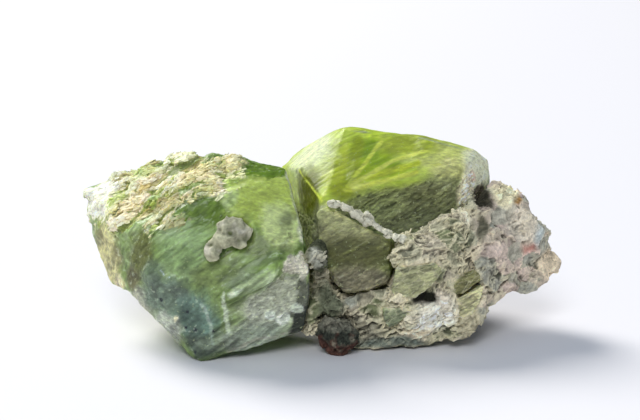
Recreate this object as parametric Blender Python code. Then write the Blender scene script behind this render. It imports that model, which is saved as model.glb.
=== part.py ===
"""Rough peridot specimen: two olivine crystals, four small ones and a few other minerals in one fibrous matrix.

Run with blender --background --python part.py, or from Blender's text editor.
Corners are in millimetres, x to the right, y away from the viewer, z up from the table.
"""

import bpy
import bmesh
from mathutils import Matrix, Vector, noise

# Driving dimensions in millimetres
MM = 0.001
FIT_GAP = 0.4
LUMP_GAP = 0.6
CARVING_VOXEL = 0.4
TABLE_LEVEL = 0.0

# Triangles that each piece keeps once its carving is thinned
LEFT_FACES = 2900
RIGHT_FACES = 1700
MATRIX_FACES = 3600
KNOB_FACES = 260
NODULE_FACES = 200
VEIN_FACES = 260

# The left crystal: a blocky prism whose crusted top leans to the left
LEFT_UPPER = {
    "tip_top": (-31.0, 3.0, 18.3),
    "tip_low": (-30.5, 1.0, 14.9),
    "tip_back": (-28.5, 8.0, 15.8),
    "yellow_top_left": (-29.6, 0.0, 12.0),
    "yellow_low_left": (-27.1, -2.5, 6.8),
    "yellow_low_right": (-24.3, -8.5, 7.6),
    "yellow_top_right": (-24.8, -7.2, 15.1),
    "olive_top_right": (-20.8, -10.8, 16.0),
    "olive_low_right": (-21.5, -12.0, 10.9),
    "shoulder": (-22.8, 2.0, 20.4),
    "crest_left": (-19.1, 0.5, 22.9),
    "crest_peak": (-16.1, -0.5, 23.9),
    "crest_middle": (-10.5, -2.5, 23.2),
    "crest_right": (-7.4, -3.0, 23.1),
    "top_right": (-4.2, -4.0, 23.0),
    "brow_left": (-16.7, -10.0, 18.8),
    "brow_right": (-12.0, -10.5, 21.0),
    "front_bulge": (-14.1, -14.8, 13.3),
    "front_right": (-5.0, -14.4, 13.9),
    "seam_upper": (-3.2, -8.0, 19.5),
    "seam_high": (-2.0, -11.0, 16.1),
    "seam_middle": (-0.9, -12.6, 11.4),
    "back_crest_left": (-18.5, 8.5, 19.8),
    "back_crest_right": (-8.0, 7.0, 20.6),
    "back_right": (-4.0, 5.5, 13.0),
    "back_low_left": (-24.0, 7.0, 8.0),
    "back_low": (-14.0, 10.0, 7.0),
}
LEFT_LOWER = {
    "foot_tip": (-14.9, -13.2, -0.4),
    "foot_left": (-15.9, -11.6, -0.2),
    "foot_right": (-10.8, -13.0, 1.7),
    "hem_middle": (-7.5, -12.6, 2.8),
    "hem_right": (-2.0, -11.2, 3.0),
    "seam_low": (-1.2, -12.0, 7.4),
    "seam_middle": (-0.9, -12.6, 11.4),
    "front_right": (-5.0, -14.4, 13.9),
    "front_edge_top": (-11.7, -15.6, 9.1),
    "front_bulge": (-14.1, -14.8, 13.3),
    "olive_low_right": (-21.5, -12.0, 10.9),
    "yellow_low_right": (-24.3, -8.5, 7.6),
    "keel_upper": (-21.8, -9.5, 5.2),
    "keel_lower": (-17.6, -11.0, 1.7),
    "under_back": (-15.0, 3.0, 3.4),
    "under_back_right": (-4.0, 1.0, 4.6),
    "under_back_left": (-22.5, 3.0, 7.0),
    "inside_back": (-12.0, 8.0, 9.0),
}
LEFT_LEDGE = {
    "low_left": (-11.8, -15.7, 7.5),
    "top_left": (-11.7, -16.6, 9.9),
    "top_middle": (-9.4, -16.5, 10.9),
    "top_right": (-5.0, -15.5, 14.0),
    "low_right": (-4.9, -15.1, 11.0),
    "low_middle": (-9.4, -15.8, 8.5),
    "root_left": (-11.4, -13.0, 8.8),
    "root_right": (-5.0, -12.5, 12.5),
}

# The right crystal: a chisel-topped prism with a lower block in front of it
RIGHT_PRISM = {
    "edge_left": (3.3, 4.0, 26.5),
    "edge_middle": (12.3, 4.0, 25.7),
    "edge_right": (20.6, 3.0, 23.6),
    "cap_upper": (22.5, 3.5, 22.1),
    "cap_lower": (23.1, 3.0, 19.6),
    "cap_back": (21.0, 8.0, 20.0),
    "edge_back_left": (3.9, 5.4, 26.4),
    "edge_back_right": (19.8, 5.0, 23.6),
    "slope_low": (-5.9, 11.0, 19.6),
    "slope_middle": (-1.5, 11.0, 22.8),
    "slope_high": (2.2, 8.6, 25.4),
    "side_top": (-2.7, 2.0, 21.5),
    "side_low": (0.3, -4.5, 18.4),
    "under_left": (2.8, -3.0, 18.8),
    "under_middle": (7.7, -2.6, 20.4),
    "under_right": (15.1, -2.0, 22.0),
    "under_end": (18.5, -1.0, 22.6),
    "hollow_left": (3.9, -3.0, 15.0),
    "hollow_middle": (10.2, -3.8, 13.4),
    "hollow_right": (16.4, -3.2, 15.8),
    "hollow_end": (19.3, -1.2, 18.5),
    "root_left": (-1.0, -3.0, 9.0),
    "root_front": (9.0, -5.0, 8.0),
    "root_right": (18.0, 0.0, 10.0),
    "back_left": (-5.0, 12.0, 13.0),
    "back_top": (8.0, 13.0, 20.5),
    "back_right": (18.0, 11.5, 15.0),
    "back_low_left": (-2.0, 11.0, 7.0),
    "back_low_right": (14.0, 10.5, 7.0),
}
RIGHT_BLOCK = {
    "ledge_left": (1.0, -6.2, 18.3),
    "ledge_middle": (5.2, -7.7, 16.8),
    "ledge_right": (9.0, -9.2, 14.6),
    "side_left": (-1.0, -6.0, 17.4),
    "low_left": (-0.3, -8.6, 10.8),
    "low_right": (9.0, -9.6, 8.6),
    "low_middle": (3.1, -9.3, 7.2),
    "back_left": (0.6, -2.0, 17.6),
    "back_right": (10.4, -3.0, 13.6),
    "back_low": (5.0, -1.0, 7.0),
}

# The small crystals: flat panes in the front of the matrix, each with its outline and its depth
PANES = {
    "small_crystal_1": {
        "outline": [(9.5, 11.6), (14.7, 12.0), (15.3, 11.0), (13.8, 9.0), (11.8, 7.7), (9.4, 7.9), (8.8, 8.7)],
        "front": -11.2,
    },
    "small_crystal_2": {
        "outline": [(7.8, 6.2), (10.6, 6.2), (11.6, 5.8), (9.9, 4.2), (8.7, 3.6), (8.1, 4.2)],
        "front": -10.8,
    },
    "small_crystal_3": {
        "outline": [(16.5, 9.0), (20.1, 10.1), (20.3, 9.1), (18.1, 7.4), (16.9, 7.2)],
        "front": -8.4,
    },
    "small_crystal_4": {
        "outline": [(16.9, 6.4), (20.7, 8.4), (20.2, 6.0), (19.2, 4.7), (17.3, 3.6)],
        "front": -8.3,
    },
}
PANE_THICKNESS = 3.0
PANE_TAPER = 0.72
PANE_CLEARING = 3.0

# The matrix: rough lumps that run from the seam to the tail and down to the two rear feet
MATRIX_LUMPS = {
    "middle": [
        (9.9, -8.0, 14.8), (15.8, -6.4, 15.6), (18.6, -3.2, 17.2), (18.4, -8.4, 7.4), (16.6, -6.6, 2.2),
        (13.9, -7.2, 0.9), (11.4, -7.8, 0.9), (8.0, -8.6, 1.6), (4.0, -9.6, 3.2), (8.6, -10.6, 5.6),
        (9.8, -11.0, 8.6), (14.6, -10.6, 9.4), (10.6, -10.6, 12.6), (15.4, -9.2, 12.8),
        (4.0, 3.0, 2.4), (16.0, 4.0, 3.0), (18.0, 4.0, 12.0),
    ],
    "shoulder": [
        (18.6, -2.4, 19.2), (22.4, 0.6, 20.4), (25.9, 1.0, 18.8), (28.0, 0.4, 15.9), (29.2, 0.0, 13.9),
        (29.0, -1.0, 12.0), (25.6, -4.4, 6.8), (23.8, -5.6, 5.3), (21.2, -6.0, 5.0), (19.0, -7.8, 6.4),
        (17.6, -6.4, 12.6), (22.5, -5.2, 14.2), (19.0, 8.0, 14.0), (25.6, 6.0, 11.0), (21.0, 7.0, 6.0),
    ],
    "tail": [
        (26.6, 0.0, 13.0), (29.7, 0.6, 11.6), (31.5, 1.0, 9.0), (31.9, 0.6, 7.4), (30.2, -1.2, 6.6),
        (25.4, -4.4, 5.6), (25.8, -4.0, 10.6), (28.0, 5.0, 8.2), (22.0, 4.0, 6.4),
    ],
    "crumb_knob": [
        (21.0, 0.6, 20.4), (22.4, 1.6, 20.4), (24.0, 1.6, 20.0), (25.6, 1.4, 18.6), (25.0, -1.6, 17.2),
        (22.2, -2.0, 16.6), (20.6, -0.8, 18.2), (23.0, 5.0, 17.0),
    ],
    "low_front": [
        (8.3, -8.4, 0.5), (11.9, -8.6, 0.5), (14.6, -8.6, 0.6), (16.9, -8.2, 1.0), (19.7, -7.8, 1.8),
        (20.7, -7.4, 3.6), (21.4, -7.0, 5.2), (20.8, -8.4, 8.2), (16.2, -9.6, 7.4), (12.6, -10.6, 6.4),
        (10.4, -10.6, 4.0), (12.0, -2.0, 0.8), (18.0, -2.0, 2.6),
    ],
    "seam_wedge": [
        (-0.2, -9.6, 11.2), (1.2, -10.4, 10.4), (2.4, -10.9, 7.4), (2.8, -11.0, 5.4), (1.8, -11.0, 3.4),
        (-0.3, -10.4, 2.4), (-2.4, -9.4, 2.6), (-1.0, -9.4, 7.2), (4.0, -4.0, 2.4), (0.0, -2.0, 3.4),
        (0.0, -2.0, 10.0), (1.8, -8.6, 1.4),
    ],
    "base_strip": [
        (2.8, -9.2, 0.4), (3.8, -9.6, 0.1), (6.4, -9.2, 0.2), (8.0, -8.8, 0.4), (12.0, -8.8, 0.4),
        (11.8, -9.4, 2.2), (6.8, -9.9, 2.8), (2.8, -9.9, 3.2), (5.0, 2.0, 1.6), (12.0, 2.0, 1.2),
    ],
    "rear_foot_left": [
        (-9.5, 5.5, -0.3), (-6.0, 8.5, -0.3), (-4.5, 5.0, -0.3), (-11.0, 6.0, 4.0), (-9.0, 11.5, 7.5),
        (0.0, 11.0, 8.0), (0.0, 1.0, 3.4), (-2.0, 10.0, 2.0), (-11.0, 8.5, 6.0),
    ],
    "rear_foot_right": [
        (10.5, 7.0, -0.3), (13.5, 9.0, -0.3), (15.0, 6.0, -0.3), (2.0, 2.0, 2.2), (17.0, 2.0, 3.2),
        (0.0, 11.5, 8.0), (16.0, 12.0, 9.0), (20.0, 8.0, 9.0), (6.0, 10.5, 3.0),
    ],
    "rear_base": [
        (-6.0, 5.0, 0.9), (-7.0, 8.5, 1.2), (3.0, 9.5, 1.6), (12.0, 9.0, 1.0), (14.0, 5.0, 1.2),
        (3.0, 3.0, 1.0), (-7.0, 10.5, 6.0), (14.0, 11.5, 7.0), (-3.0, 2.0, 4.0), (15.0, 2.0, 6.0),
    ],
    "rear_wall": [
        (-9.0, 10.0, 7.0), (-6.5, 13.5, 12.0), (4.0, 14.6, 11.0), (14.0, 14.0, 12.5), (20.0, 10.0, 13.0),
        (16.0, 11.0, 5.0), (0.0, 11.0, 4.0), (2.0, 6.0, 9.0), (16.0, 5.0, 9.0),
    ],
    "twisted_ridge": [
        (13.6, -7.6, 15.2), (17.0, -6.2, 17.4), (18.2, -5.2, 17.8), (19.2, -4.8, 15.8), (17.8, -7.6, 13.4),
        (14.8, -9.6, 13.4), (18.0, -1.0, 15.0), (13.0, -4.0, 12.0),
    ],
    "seam_back": [
        (-6.5, 8.5, 6.0), (-8.0, 11.0, 10.5), (-5.0, 13.5, 13.0), (-3.0, 13.0, 16.0), (0.5, 14.5, 13.0),
        (-4.5, 7.5, 15.5), (-1.0, 5.0, 12.0), (-3.0, 3.0, 8.0), (2.0, 10.0, 6.0),
    ],
    "under_block": [
        (1.2, -8.3, 7.2), (4.2, -8.5, 6.2), (7.6, -8.3, 6.0), (8.8, -8.0, 4.4), (2.0, -8.6, 3.2),
        (6.4, -8.6, 2.8), (1.4, -1.0, 6.6), (8.4, -1.0, 6.6), (5.0, -1.0, 2.2),
    ],
    "rim_by_block": [
        (8.6, -9.4, 15.0), (11.0, -8.8, 14.8), (11.4, -10.3, 12.8), (9.2, -10.6, 12.6), (8.8, -10.7, 9.0),
        (10.0, -10.9, 8.4), (10.8, -8.0, 9.0), (10.2, -6.0, 14.0), (8.8, -8.0, 10.0),
    ],
    "seam_chips": [
        (-1.8, -12.2, 14.9), (-1.0, -11.6, 14.9), (0.3, -12.6, 14.0), (0.4, -13.2, 12.4), (-1.2, -14.0, 12.3),
        (-1.8, -13.8, 13.6), (0.8, -9.0, 13.0), (0.0, -8.6, 14.6), (1.0, -9.0, 10.4), (0.0, -12.0, 10.4),
    ],
}

# Hollows broken or weathered into the matrix
MATRIX_HOLLOWS = {
    "pit_under_pane": [
        (11.4, -14.0, 6.6), (13.6, -14.0, 7.8), (13.8, -14.0, 6.9), (12.2, -14.0, 5.9),
        (11.8, -6.6, 6.5), (13.0, -6.6, 7.3), (13.2, -6.6, 6.8), (12.2, -6.6, 6.1),
    ],
    "split_under_block": [
        (1.9, -14.0, 8.3), (4.4, -14.0, 8.1), (7.0, -14.0, 7.2), (6.6, -14.0, 6.6), (3.0, -14.0, 7.0),
        (2.4, -7.4, 8.0), (6.4, -7.4, 7.2), (6.0, -7.4, 6.8), (3.2, -7.4, 7.2),
    ],
    "slanting_groove": [
        (18.2, -10.0, 13.0), (21.2, -8.0, 17.4), (21.8, -8.0, 16.6), (18.8, -10.0, 12.4),
        (19.4, -1.6, 14.2), (21.4, -1.0, 16.6), (21.6, -1.0, 16.2), (19.8, -1.6, 13.8),
    ],
    "notch_below_cap": [
        (19.4, -6.0, 19.4), (21.2, -6.0, 19.4), (21.2, -6.0, 17.2), (19.6, -6.0, 17.6),
        (19.6, 1.0, 19.0), (20.8, 1.0, 19.0), (20.8, 1.0, 17.6), (19.8, 1.0, 17.8),
    ],
}

# The iron-stained knob, the grey nodule and the pale vein
KNOB = [
    (1.5, -10.6, -0.4), (2.6, -11.0, -0.4), (3.4, -9.8, -0.4), (1.9, -9.2, -0.4), (-0.3, -10.8, 1.4),
    (-0.6, -11.0, 3.4), (0.6, -11.6, 4.9), (2.4, -12.0, 5.1), (4.2, -11.8, 4.2), (5.0, -11.0, 2.9),
    (4.4, -11.0, 1.3), (1.0, -8.0, 4.2), (3.8, -8.0, 3.6), (2.0, -8.2, 1.0), (1.4, -12.2, 2.2), (3.2, -12.0, 1.4),
]
NODULE_LUMPS = {
    "upper": [
        (-12.9, -13.6, 17.9), (-11.4, -13.2, 18.9), (-9.6, -13.2, 18.7), (-8.2, -13.6, 17.4), (-8.1, -14.4, 15.9),
        (-9.8, -15.3, 14.7), (-12.4, -15.4, 14.9), (-13.2, -14.8, 16.4), (-11.5, -15.2, 16.6),
        (-9.7, -15.0, 17.0), (-10.6, -11.5, 16.6),
    ],
    "lower": [
        (-14.3, -14.8, 15.6), (-13.2, -14.6, 16.3), (-11.8, -15.0, 15.6), (-12.0, -16.1, 13.9), (-13.5, -16.1, 13.7),
        (-14.3, -15.9, 14.5), (-12.9, -16.3, 14.8), (-12.8, -12.6, 14.8),
    ],
}
VEIN_PATH = [
    (0.9, -6.1, 18.75), (2.7, -6.5, 18.5), (4.2, -7.1, 17.7), (5.6, -7.6, 17.1), (7.0, -8.1, 16.3),
    (8.6, -8.7, 15.4), (9.6, -9.1, 14.9), (10.7, -9.4, 14.5),
]
VEIN_HALF_WIDTH = 0.75
VEIN_HALF_HEIGHT = 0.32


def in_metres(corner):
    return Vector(corner) * MM


def mesh_object(name, shape):
    """A new object holding a bmesh, which is freed."""
    mesh = bpy.data.meshes.new(name)
    shape.to_mesh(mesh)
    shape.free()
    made = bpy.data.objects.new(name, mesh)
    bpy.context.scene.collection.objects.link(made)
    return made


def hull(name, corners, swell=0.0):
    """The convex block with these corners; swell in millimetres moves its faces out."""
    shape = bmesh.new()
    reach = [0.0] if swell == 0.0 else [-swell, swell]
    for corner in corners:
        for dx in reach:
            for dy in reach:
                for dz in reach:
                    shape.verts.new(in_metres(corner) + Vector((dx, dy, dz)) * MM)
    bmesh.ops.remove_doubles(shape, verts=shape.verts, dist=0.01 * MM)
    found = bmesh.ops.convex_hull(shape, input=shape.verts)
    inner = [part for part in found["geom_interior"] if isinstance(part, bmesh.types.BMVert)]
    bmesh.ops.delete(shape, geom=inner, context="VERTS")
    bmesh.ops.dissolve_limit(shape, angle_limit=0.01, verts=shape.verts, edges=shape.edges)
    bmesh.ops.triangulate(shape, faces=shape.faces)
    bmesh.ops.recalc_face_normals(shape, faces=shape.faces)
    return mesh_object(name, shape)


def settled(piece):
    """Puts the evaluated shape in the object's own mesh and drops its modifiers."""
    graph = bpy.context.evaluated_depsgraph_get()
    graph.update()
    mesh = bpy.data.meshes.new_from_object(piece.evaluated_get(graph))
    piece.modifiers.clear()
    piece.data = mesh
    return piece


def even_skin(piece):
    """Gives the piece one closed skin of small even faces, without folds or inner walls."""
    skin = piece.modifiers.new("skin", "REMESH")
    skin.mode = "VOXEL"
    skin.voxel_size = CARVING_VOXEL * MM
    skin.adaptivity = 0.0
    return settled(piece)


def joined(name, blocks):
    """Several overlapping blocks grown into one lump."""
    shape = bmesh.new()
    for block in blocks:
        shape.from_mesh(block.data)
        bpy.data.objects.remove(block)
    return even_skin(mesh_object(name, shape))


def carved(piece, rule):
    """Moves each vertex along its normal by rule(place, normal), in millimetres."""
    moves = []
    for vertex in piece.data.vertices:
        place = vertex.co / MM
        moves.append(vertex.normal * rule(place, vertex.normal) * MM)
    for vertex, move in zip(piece.data.vertices, moves):
        vertex.co += move
    return piece


def thinned(piece, faces):
    """Keeps about this many triangles, most of them where the surface is rough."""
    piece.data.calc_loop_triangles()
    thin = piece.modifiers.new("thin", "DECIMATE")
    thin.ratio = min(1.0, faces / len(piece.data.loop_triangles))
    thin.use_collapse_triangulate = True
    return settled(piece)


def largest_part(piece):
    """Drops crumbs that a cut has parted from the piece."""
    shape = bmesh.new()
    shape.from_mesh(piece.data)
    unseen = set(shape.verts)
    parts = []
    while unseen:
        part = set()
        edge_of_search = [unseen.pop()]
        while edge_of_search:
            vertex = edge_of_search.pop()
            part.add(vertex)
            for edge in vertex.link_edges:
                other = edge.other_vert(vertex)
                if other in unseen:
                    unseen.discard(other)
                    edge_of_search.append(other)
        parts.append(part)
    parts.sort(key=len)
    crumbs = [vertex for part in parts[:-1] for vertex in part]
    bmesh.ops.delete(shape, geom=crumbs, context="VERTS")
    shape.to_mesh(piece.data)
    shape.free()
    return piece


def cut_by(piece, blocks):
    """Takes the space of these blocks out of the piece."""
    cutter = joined("cutter", blocks)
    cut = piece.modifiers.new("cut", "BOOLEAN")
    cut.operation = "DIFFERENCE"
    cut.solver = "EXACT"
    cut.object = cutter
    settled(piece)
    bpy.data.objects.remove(cutter)
    return even_skin(largest_part(piece))


def flat_feet(piece):
    """Cuts the piece off level with the table, which leaves small flat feet."""
    shape = bmesh.new()
    shape.from_mesh(piece.data)
    everything = shape.verts[:] + shape.edges[:] + shape.faces[:]
    table = Vector((0.0, 0.0, TABLE_LEVEL * MM))
    cut = bmesh.ops.bisect_plane(
        shape, geom=everything, dist=0.001 * MM, plane_co=table, plane_no=(0.0, 0.0, 1.0), clear_inner=True
    )
    rim = [part for part in cut["geom_cut"] if isinstance(part, bmesh.types.BMEdge)]
    soles = bmesh.ops.holes_fill(shape, edges=rim, sides=0)
    bmesh.ops.triangulate(shape, faces=soles["faces"])
    shape.to_mesh(piece.data)
    shape.free()
    return piece


def seats(blocks, gap):
    """Blocks that leave a clear gap round pieces with these corners."""
    return [hull("seat", corners, swell=gap) for corners in blocks]


# Surface rules
def broken_faces(place, size, depth):
    """Small flat breaks at chance angles, one for each cell of a Voronoi pattern."""
    seed = noise.voronoi(place / size)[1][0]
    lean = noise.cell_vector(seed * 97.0) * 2.0 - Vector((1.0, 1.0, 1.0))
    return depth * (lean.dot(place / size - seed) + 0.5 * lean.x)


def ripples(place, size, octaves):
    return noise.fractal(place / size, 1.0, 2.0, octaves)


def ridges(place, size):
    """Sharp-crested folds between nought and about one."""
    return 1.0 - abs(noise.noise(place / size)) * 2.4


def smooth_step(low, high, value):
    share = min(1.0, max(0.0, (value - low) / (high - low)))
    return share * share * (3.0 - 2.0 * share)


CRUST_START = Vector((-29.0, 0.0, 12.7))
CRUST_RISE = 0.45
CRUST_END_X = -9.0


def crust_share(place):
    """One on the crusted top of the left crystal and nought on its clean faces."""
    height = place.z - CRUST_START.z - CRUST_RISE * (place.x - CRUST_START.x)
    height += 1.2 * ripples(place, 5.0, 2)
    return smooth_step(-0.3, 1.2, height) * smooth_step(CRUST_END_X + 3.0, CRUST_END_X, place.x)


SCOOP_CENTRE = Vector((-14.6, -13.2, 19.0))
SCOOP_RADIUS = 4.0
SCOOP_DEPTH = 1.5
STEP_NORMAL = Vector((0.35, 0.0, 1.0)).normalized()
STEP_SPACING = 2.6


def left_rule(place, normal):
    crust = crust_share(place)
    bumps = broken_faces(place, 2.6, 0.55) + 0.4 * ridges(place, 2.2)
    chips = -abs(broken_faces(place, 6.0, 0.22)) - 0.06 * abs(ripples(place, 1.6, 3))
    along = place.dot(STEP_NORMAL) / STEP_SPACING + 0.35 * ripples(place, 6.0, 2)
    steps = -0.22 * (along - int(along)) if normal.y < -0.2 else 0.0
    scoop = smooth_step(SCOOP_RADIUS, 0.0, (place - SCOOP_CENTRE).length)
    return crust * bumps + (1.0 - crust) * (chips + steps) - SCOOP_DEPTH * scoop


HOLLOW_CENTRE = Vector((10.5, -4.5, 17.2))
HOLLOW_REACH = Vector((7.5, 5.0, 3.6))
HOLLOW_DEPTH = 1.3


def right_rule(place, normal):
    away = place - HOLLOW_CENTRE
    spread = Vector((away.x / HOLLOW_REACH.x, away.y / HOLLOW_REACH.y, away.z / HOLLOW_REACH.z)).length
    hollow = smooth_step(1.1, 0.3, spread)
    worn = -abs(broken_faces(place, 6.5, 0.35)) - 0.08 * abs(ripples(place, 2.0, 3))
    lower = smooth_step(18.5, 15.0, place.z)
    rough = -0.35 * abs(ripples(place, 1.5, 3)) * max(hollow, lower)
    return worn - HOLLOW_DEPTH * hollow + rough


def matrix_rule(place, normal):
    blocks = broken_faces(place, 4.2, 0.95) + broken_faces(place + Vector((7, 3, 1)), 1.9, 0.42)
    folds = 0.45 * ridges(place, 2.4) - 0.25
    foot = smooth_step(0.2, 1.6, place.z)
    return (blocks + folds) * foot


def lump_rule(place, normal):
    foot = smooth_step(0.2, 1.2, place.z)
    return (0.3 * broken_faces(place, 1.6, 1.0) + 0.25 * ridges(place, 1.3) - 0.15) * foot


# Pieces
def pane_corners(pane, ahead=0.0):
    """A small crystal's corners: a flat front outline that tapers to its root."""
    centre_x = sum(x for x, z in pane["outline"]) / len(pane["outline"])
    centre_z = sum(z for x, z in pane["outline"]) / len(pane["outline"])
    back = pane["front"] + PANE_THICKNESS
    corners = []
    for x, z in pane["outline"]:
        corners.append((x, pane["front"] - ahead, z))
        corners.append((centre_x + (x - centre_x) * PANE_TAPER, back, centre_z + (z - centre_z) * PANE_TAPER))
    return corners


def small_crystal(name, pane):
    crystal = hull(name, pane_corners(pane))
    edge = crystal.modifiers.new("worn edge", "BEVEL")
    edge.width = 0.12 * MM
    edge.segments = 1
    edge.limit_method = "ANGLE"
    return settled(crystal)


def vein_blocks():
    """The vein's corners as short blocks that follow the ledge of the lower block."""
    blocks = []
    for start, end in zip(VEIN_PATH, VEIN_PATH[1:]):
        corners = []
        for x, y, z in (start, end):
            for dy in (-VEIN_HALF_WIDTH, VEIN_HALF_WIDTH):
                for dz in (-VEIN_HALF_HEIGHT, VEIN_HALF_HEIGHT):
                    corners.append((x, y + dy, z + dz))
        blocks.append(corners)
    return blocks


def vein():
    seam = joined("pale_vein", [hull("block", corners) for corners in vein_blocks()])
    carved(seam, lambda place, normal: 0.16 * ripples(place, 0.8, 2))
    return thinned(seam, VEIN_FACES)


def iron_knob():
    knob = joined("iron_knob", [hull("block", KNOB)])
    carved(knob, lump_rule)
    return flat_feet(thinned(knob, KNOB_FACES))


def grey_nodule():
    nodule = joined("grey_nodule", [hull("block", corners) for corners in NODULE_LUMPS.values()])
    carved(nodule, lump_rule)
    return thinned(nodule, NODULE_FACES)


def left_crystal():
    blocks = [LEFT_UPPER.values(), LEFT_LOWER.values(), LEFT_LEDGE.values()]
    crystal = joined("left_crystal", [hull("block", corners) for corners in blocks])
    even_skin(carved(crystal, left_rule))
    cut_by(crystal, seats(NODULE_LUMPS.values(), LUMP_GAP))
    return flat_feet(thinned(crystal, LEFT_FACES))


def right_crystal():
    blocks = [RIGHT_PRISM.values(), RIGHT_BLOCK.values()]
    crystal = joined("right_crystal", [hull("block", corners) for corners in blocks])
    even_skin(carved(crystal, right_rule))
    neighbours = seats([LEFT_UPPER.values(), LEFT_LOWER.values()], FIT_GAP)
    cut_by(crystal, neighbours + seats(vein_blocks(), FIT_GAP))
    return thinned(crystal, RIGHT_FACES)


def matrix():
    rock = joined("matrix", [hull("block", corners) for corners in MATRIX_LUMPS.values()])
    even_skin(carved(rock, matrix_rule))
    cut_by(rock, [hull("hollow", corners) for corners in MATRIX_HOLLOWS.values()])
    crystals = [LEFT_UPPER.values(), LEFT_LOWER.values(), RIGHT_PRISM.values(), RIGHT_BLOCK.values()]
    crystals += [pane_corners(pane, ahead=PANE_CLEARING) for pane in PANES.values()]
    cut_by(rock, seats(crystals + vein_blocks(), FIT_GAP) + seats([KNOB], LUMP_GAP))
    return flat_feet(thinned(rock, MATRIX_FACES))


# Finishes
COLOURS = {
    "left_crystal": ((0.36, 0.55, 0.22), 0.32),
    "right_crystal": ((0.42, 0.62, 0.06), 0.25),
    "small_crystal": ((0.45, 0.50, 0.28), 0.4),
    "matrix": ((0.50, 0.49, 0.40), 0.85),
    "iron_knob": ((0.12, 0.07, 0.05), 0.8),
    "grey_nodule": ((0.46, 0.43, 0.39), 0.7),
    "pale_vein": ((0.78, 0.76, 0.72), 0.75),
}


def finish(piece):
    kind = "small_crystal" if piece.name.startswith("small_crystal") else piece.name
    colour, roughness = COLOURS[kind]
    material = bpy.data.materials.new(piece.name)
    material.use_nodes = True
    shader = material.node_tree.nodes["Principled BSDF"]
    shader.inputs["Base Color"].default_value = (*colour, 1.0)
    shader.inputs["Roughness"].default_value = roughness
    shader.inputs["Metallic"].default_value = 0.0
    piece.data.materials.clear()
    piece.data.materials.append(material)


def centre_on_footprint(pieces):
    """Moves the specimen so that its origin is under the middle of its box, on the table."""
    places = [vertex.co for piece in pieces for vertex in piece.data.vertices]
    low = Vector([min(place[axis] for place in places) for axis in range(3)])
    high = Vector([max(place[axis] for place in places) for axis in range(3)])
    middle = (low + high) / 2
    shift = Vector((-middle.x, -middle.y, -low.z))
    for piece in pieces:
        piece.data.transform(Matrix.Translation(shift))
    print("origin moved by", [round(value / MM, 3) for value in shift], "mm")


def main():
    for old in list(bpy.data.objects):
        bpy.data.objects.remove(old)
    pieces = [left_crystal(), right_crystal(), matrix(), iron_knob(), grey_nodule(), vein()]
    pieces += [small_crystal(name, pane) for name, pane in PANES.items()]
    centre_on_footprint(pieces)
    for piece in pieces:
        finish(piece)


main()
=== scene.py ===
"""The looks of a rough peridot specimen: two large green crystals and four small ones in a pale matrix.

Places and sizes are millimetres in the specimen's own frame, where nothing else is said: x points right,
y away from the viewer and z up from the table.
"""

import itertools
import math

import bmesh
import bpy
import numpy as np
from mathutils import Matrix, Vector
from mathutils.bvhtree import BVHTree


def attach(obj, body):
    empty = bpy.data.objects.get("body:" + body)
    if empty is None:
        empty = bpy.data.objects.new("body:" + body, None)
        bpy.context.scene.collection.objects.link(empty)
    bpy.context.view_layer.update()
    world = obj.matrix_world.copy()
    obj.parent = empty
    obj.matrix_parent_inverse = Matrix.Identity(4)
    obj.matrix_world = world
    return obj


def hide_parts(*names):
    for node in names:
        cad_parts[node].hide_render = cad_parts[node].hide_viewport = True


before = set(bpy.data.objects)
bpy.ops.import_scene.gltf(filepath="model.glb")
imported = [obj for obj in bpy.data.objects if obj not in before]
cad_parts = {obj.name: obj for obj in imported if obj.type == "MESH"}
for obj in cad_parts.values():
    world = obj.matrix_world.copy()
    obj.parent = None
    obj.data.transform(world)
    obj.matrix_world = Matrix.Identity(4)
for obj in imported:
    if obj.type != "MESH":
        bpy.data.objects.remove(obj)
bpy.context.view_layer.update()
MM = 0.001


# The table and the light: a plain pale surface that fills the view, in a cool soft room that is brighter
# overhead. A broad window, high up behind and a little to the left, throws the shadow forward, and a broad
# white card stands in front. The table and the two lights are measured in metres, and their power in watts.
CAMERA_PLACE = (-0.34, -223.27, 72.06)
CAMERA_DOWN = 14.0
LENS = 100.0
SENSOR = 36.0
TABLE_SIZE = 6.0
TABLE_COLOUR = (0.81, 0.785, 0.795)
ROOM_COLOUR = (0.58, 0.76, 1.0)
ROOM_LOW = 0.04
ROOM_OVERHEAD = 0.40
WINDOW_COLOUR = (1.0, 0.985, 0.955)
WINDOW_PLACE = (-0.74, 0.76, 1.06)
WINDOW_SIZE = 0.78
WINDOW_POWER = 25.0
CARD_COLOUR = (0.91, 0.95, 1.0)
CARD_PLACE = (-0.12, -0.80, 0.66)
CARD_SIZE = 0.45
CARD_POWER = 5.6

camera = bpy.data.objects.new("camera", bpy.data.cameras.new("camera"))
camera.data.lens = LENS
camera.data.sensor_width = SENSOR
camera.data.clip_start = 0.01
camera.location = Vector(CAMERA_PLACE) * MM
camera.rotation_euler = (math.radians(90.0 - CAMERA_DOWN), 0.0, 0.0)
bpy.context.scene.collection.objects.link(camera)
bpy.context.scene.camera = camera
bpy.context.scene.view_settings.view_transform = "Standard"


def new_material(name):
    """A new material, its node tree and its Principled shader."""
    material = bpy.data.materials.new(name)
    material.use_nodes = True
    tree = material.node_tree
    return material, tree, tree.nodes["Principled BSDF"]


half = TABLE_SIZE / 2
table_corners = [(-half, -half, 0), (half, -half, 0), (half, half, 0), (-half, half, 0)]
table_mesh = bpy.data.meshes.new("table")
table_mesh.from_pydata(table_corners, [], [(0, 1, 2, 3)])
table = bpy.data.objects.new("table", table_mesh)
bpy.context.scene.collection.objects.link(table)
table_finish, _, table_shader = new_material("pale table")
table_shader.inputs["Base Color"].default_value = (*TABLE_COLOUR, 1.0)
table_shader.inputs["Roughness"].default_value = 0.9
table_shader.inputs["Specular IOR Level"].default_value = 0.1
table.data.materials.append(table_finish)

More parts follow.
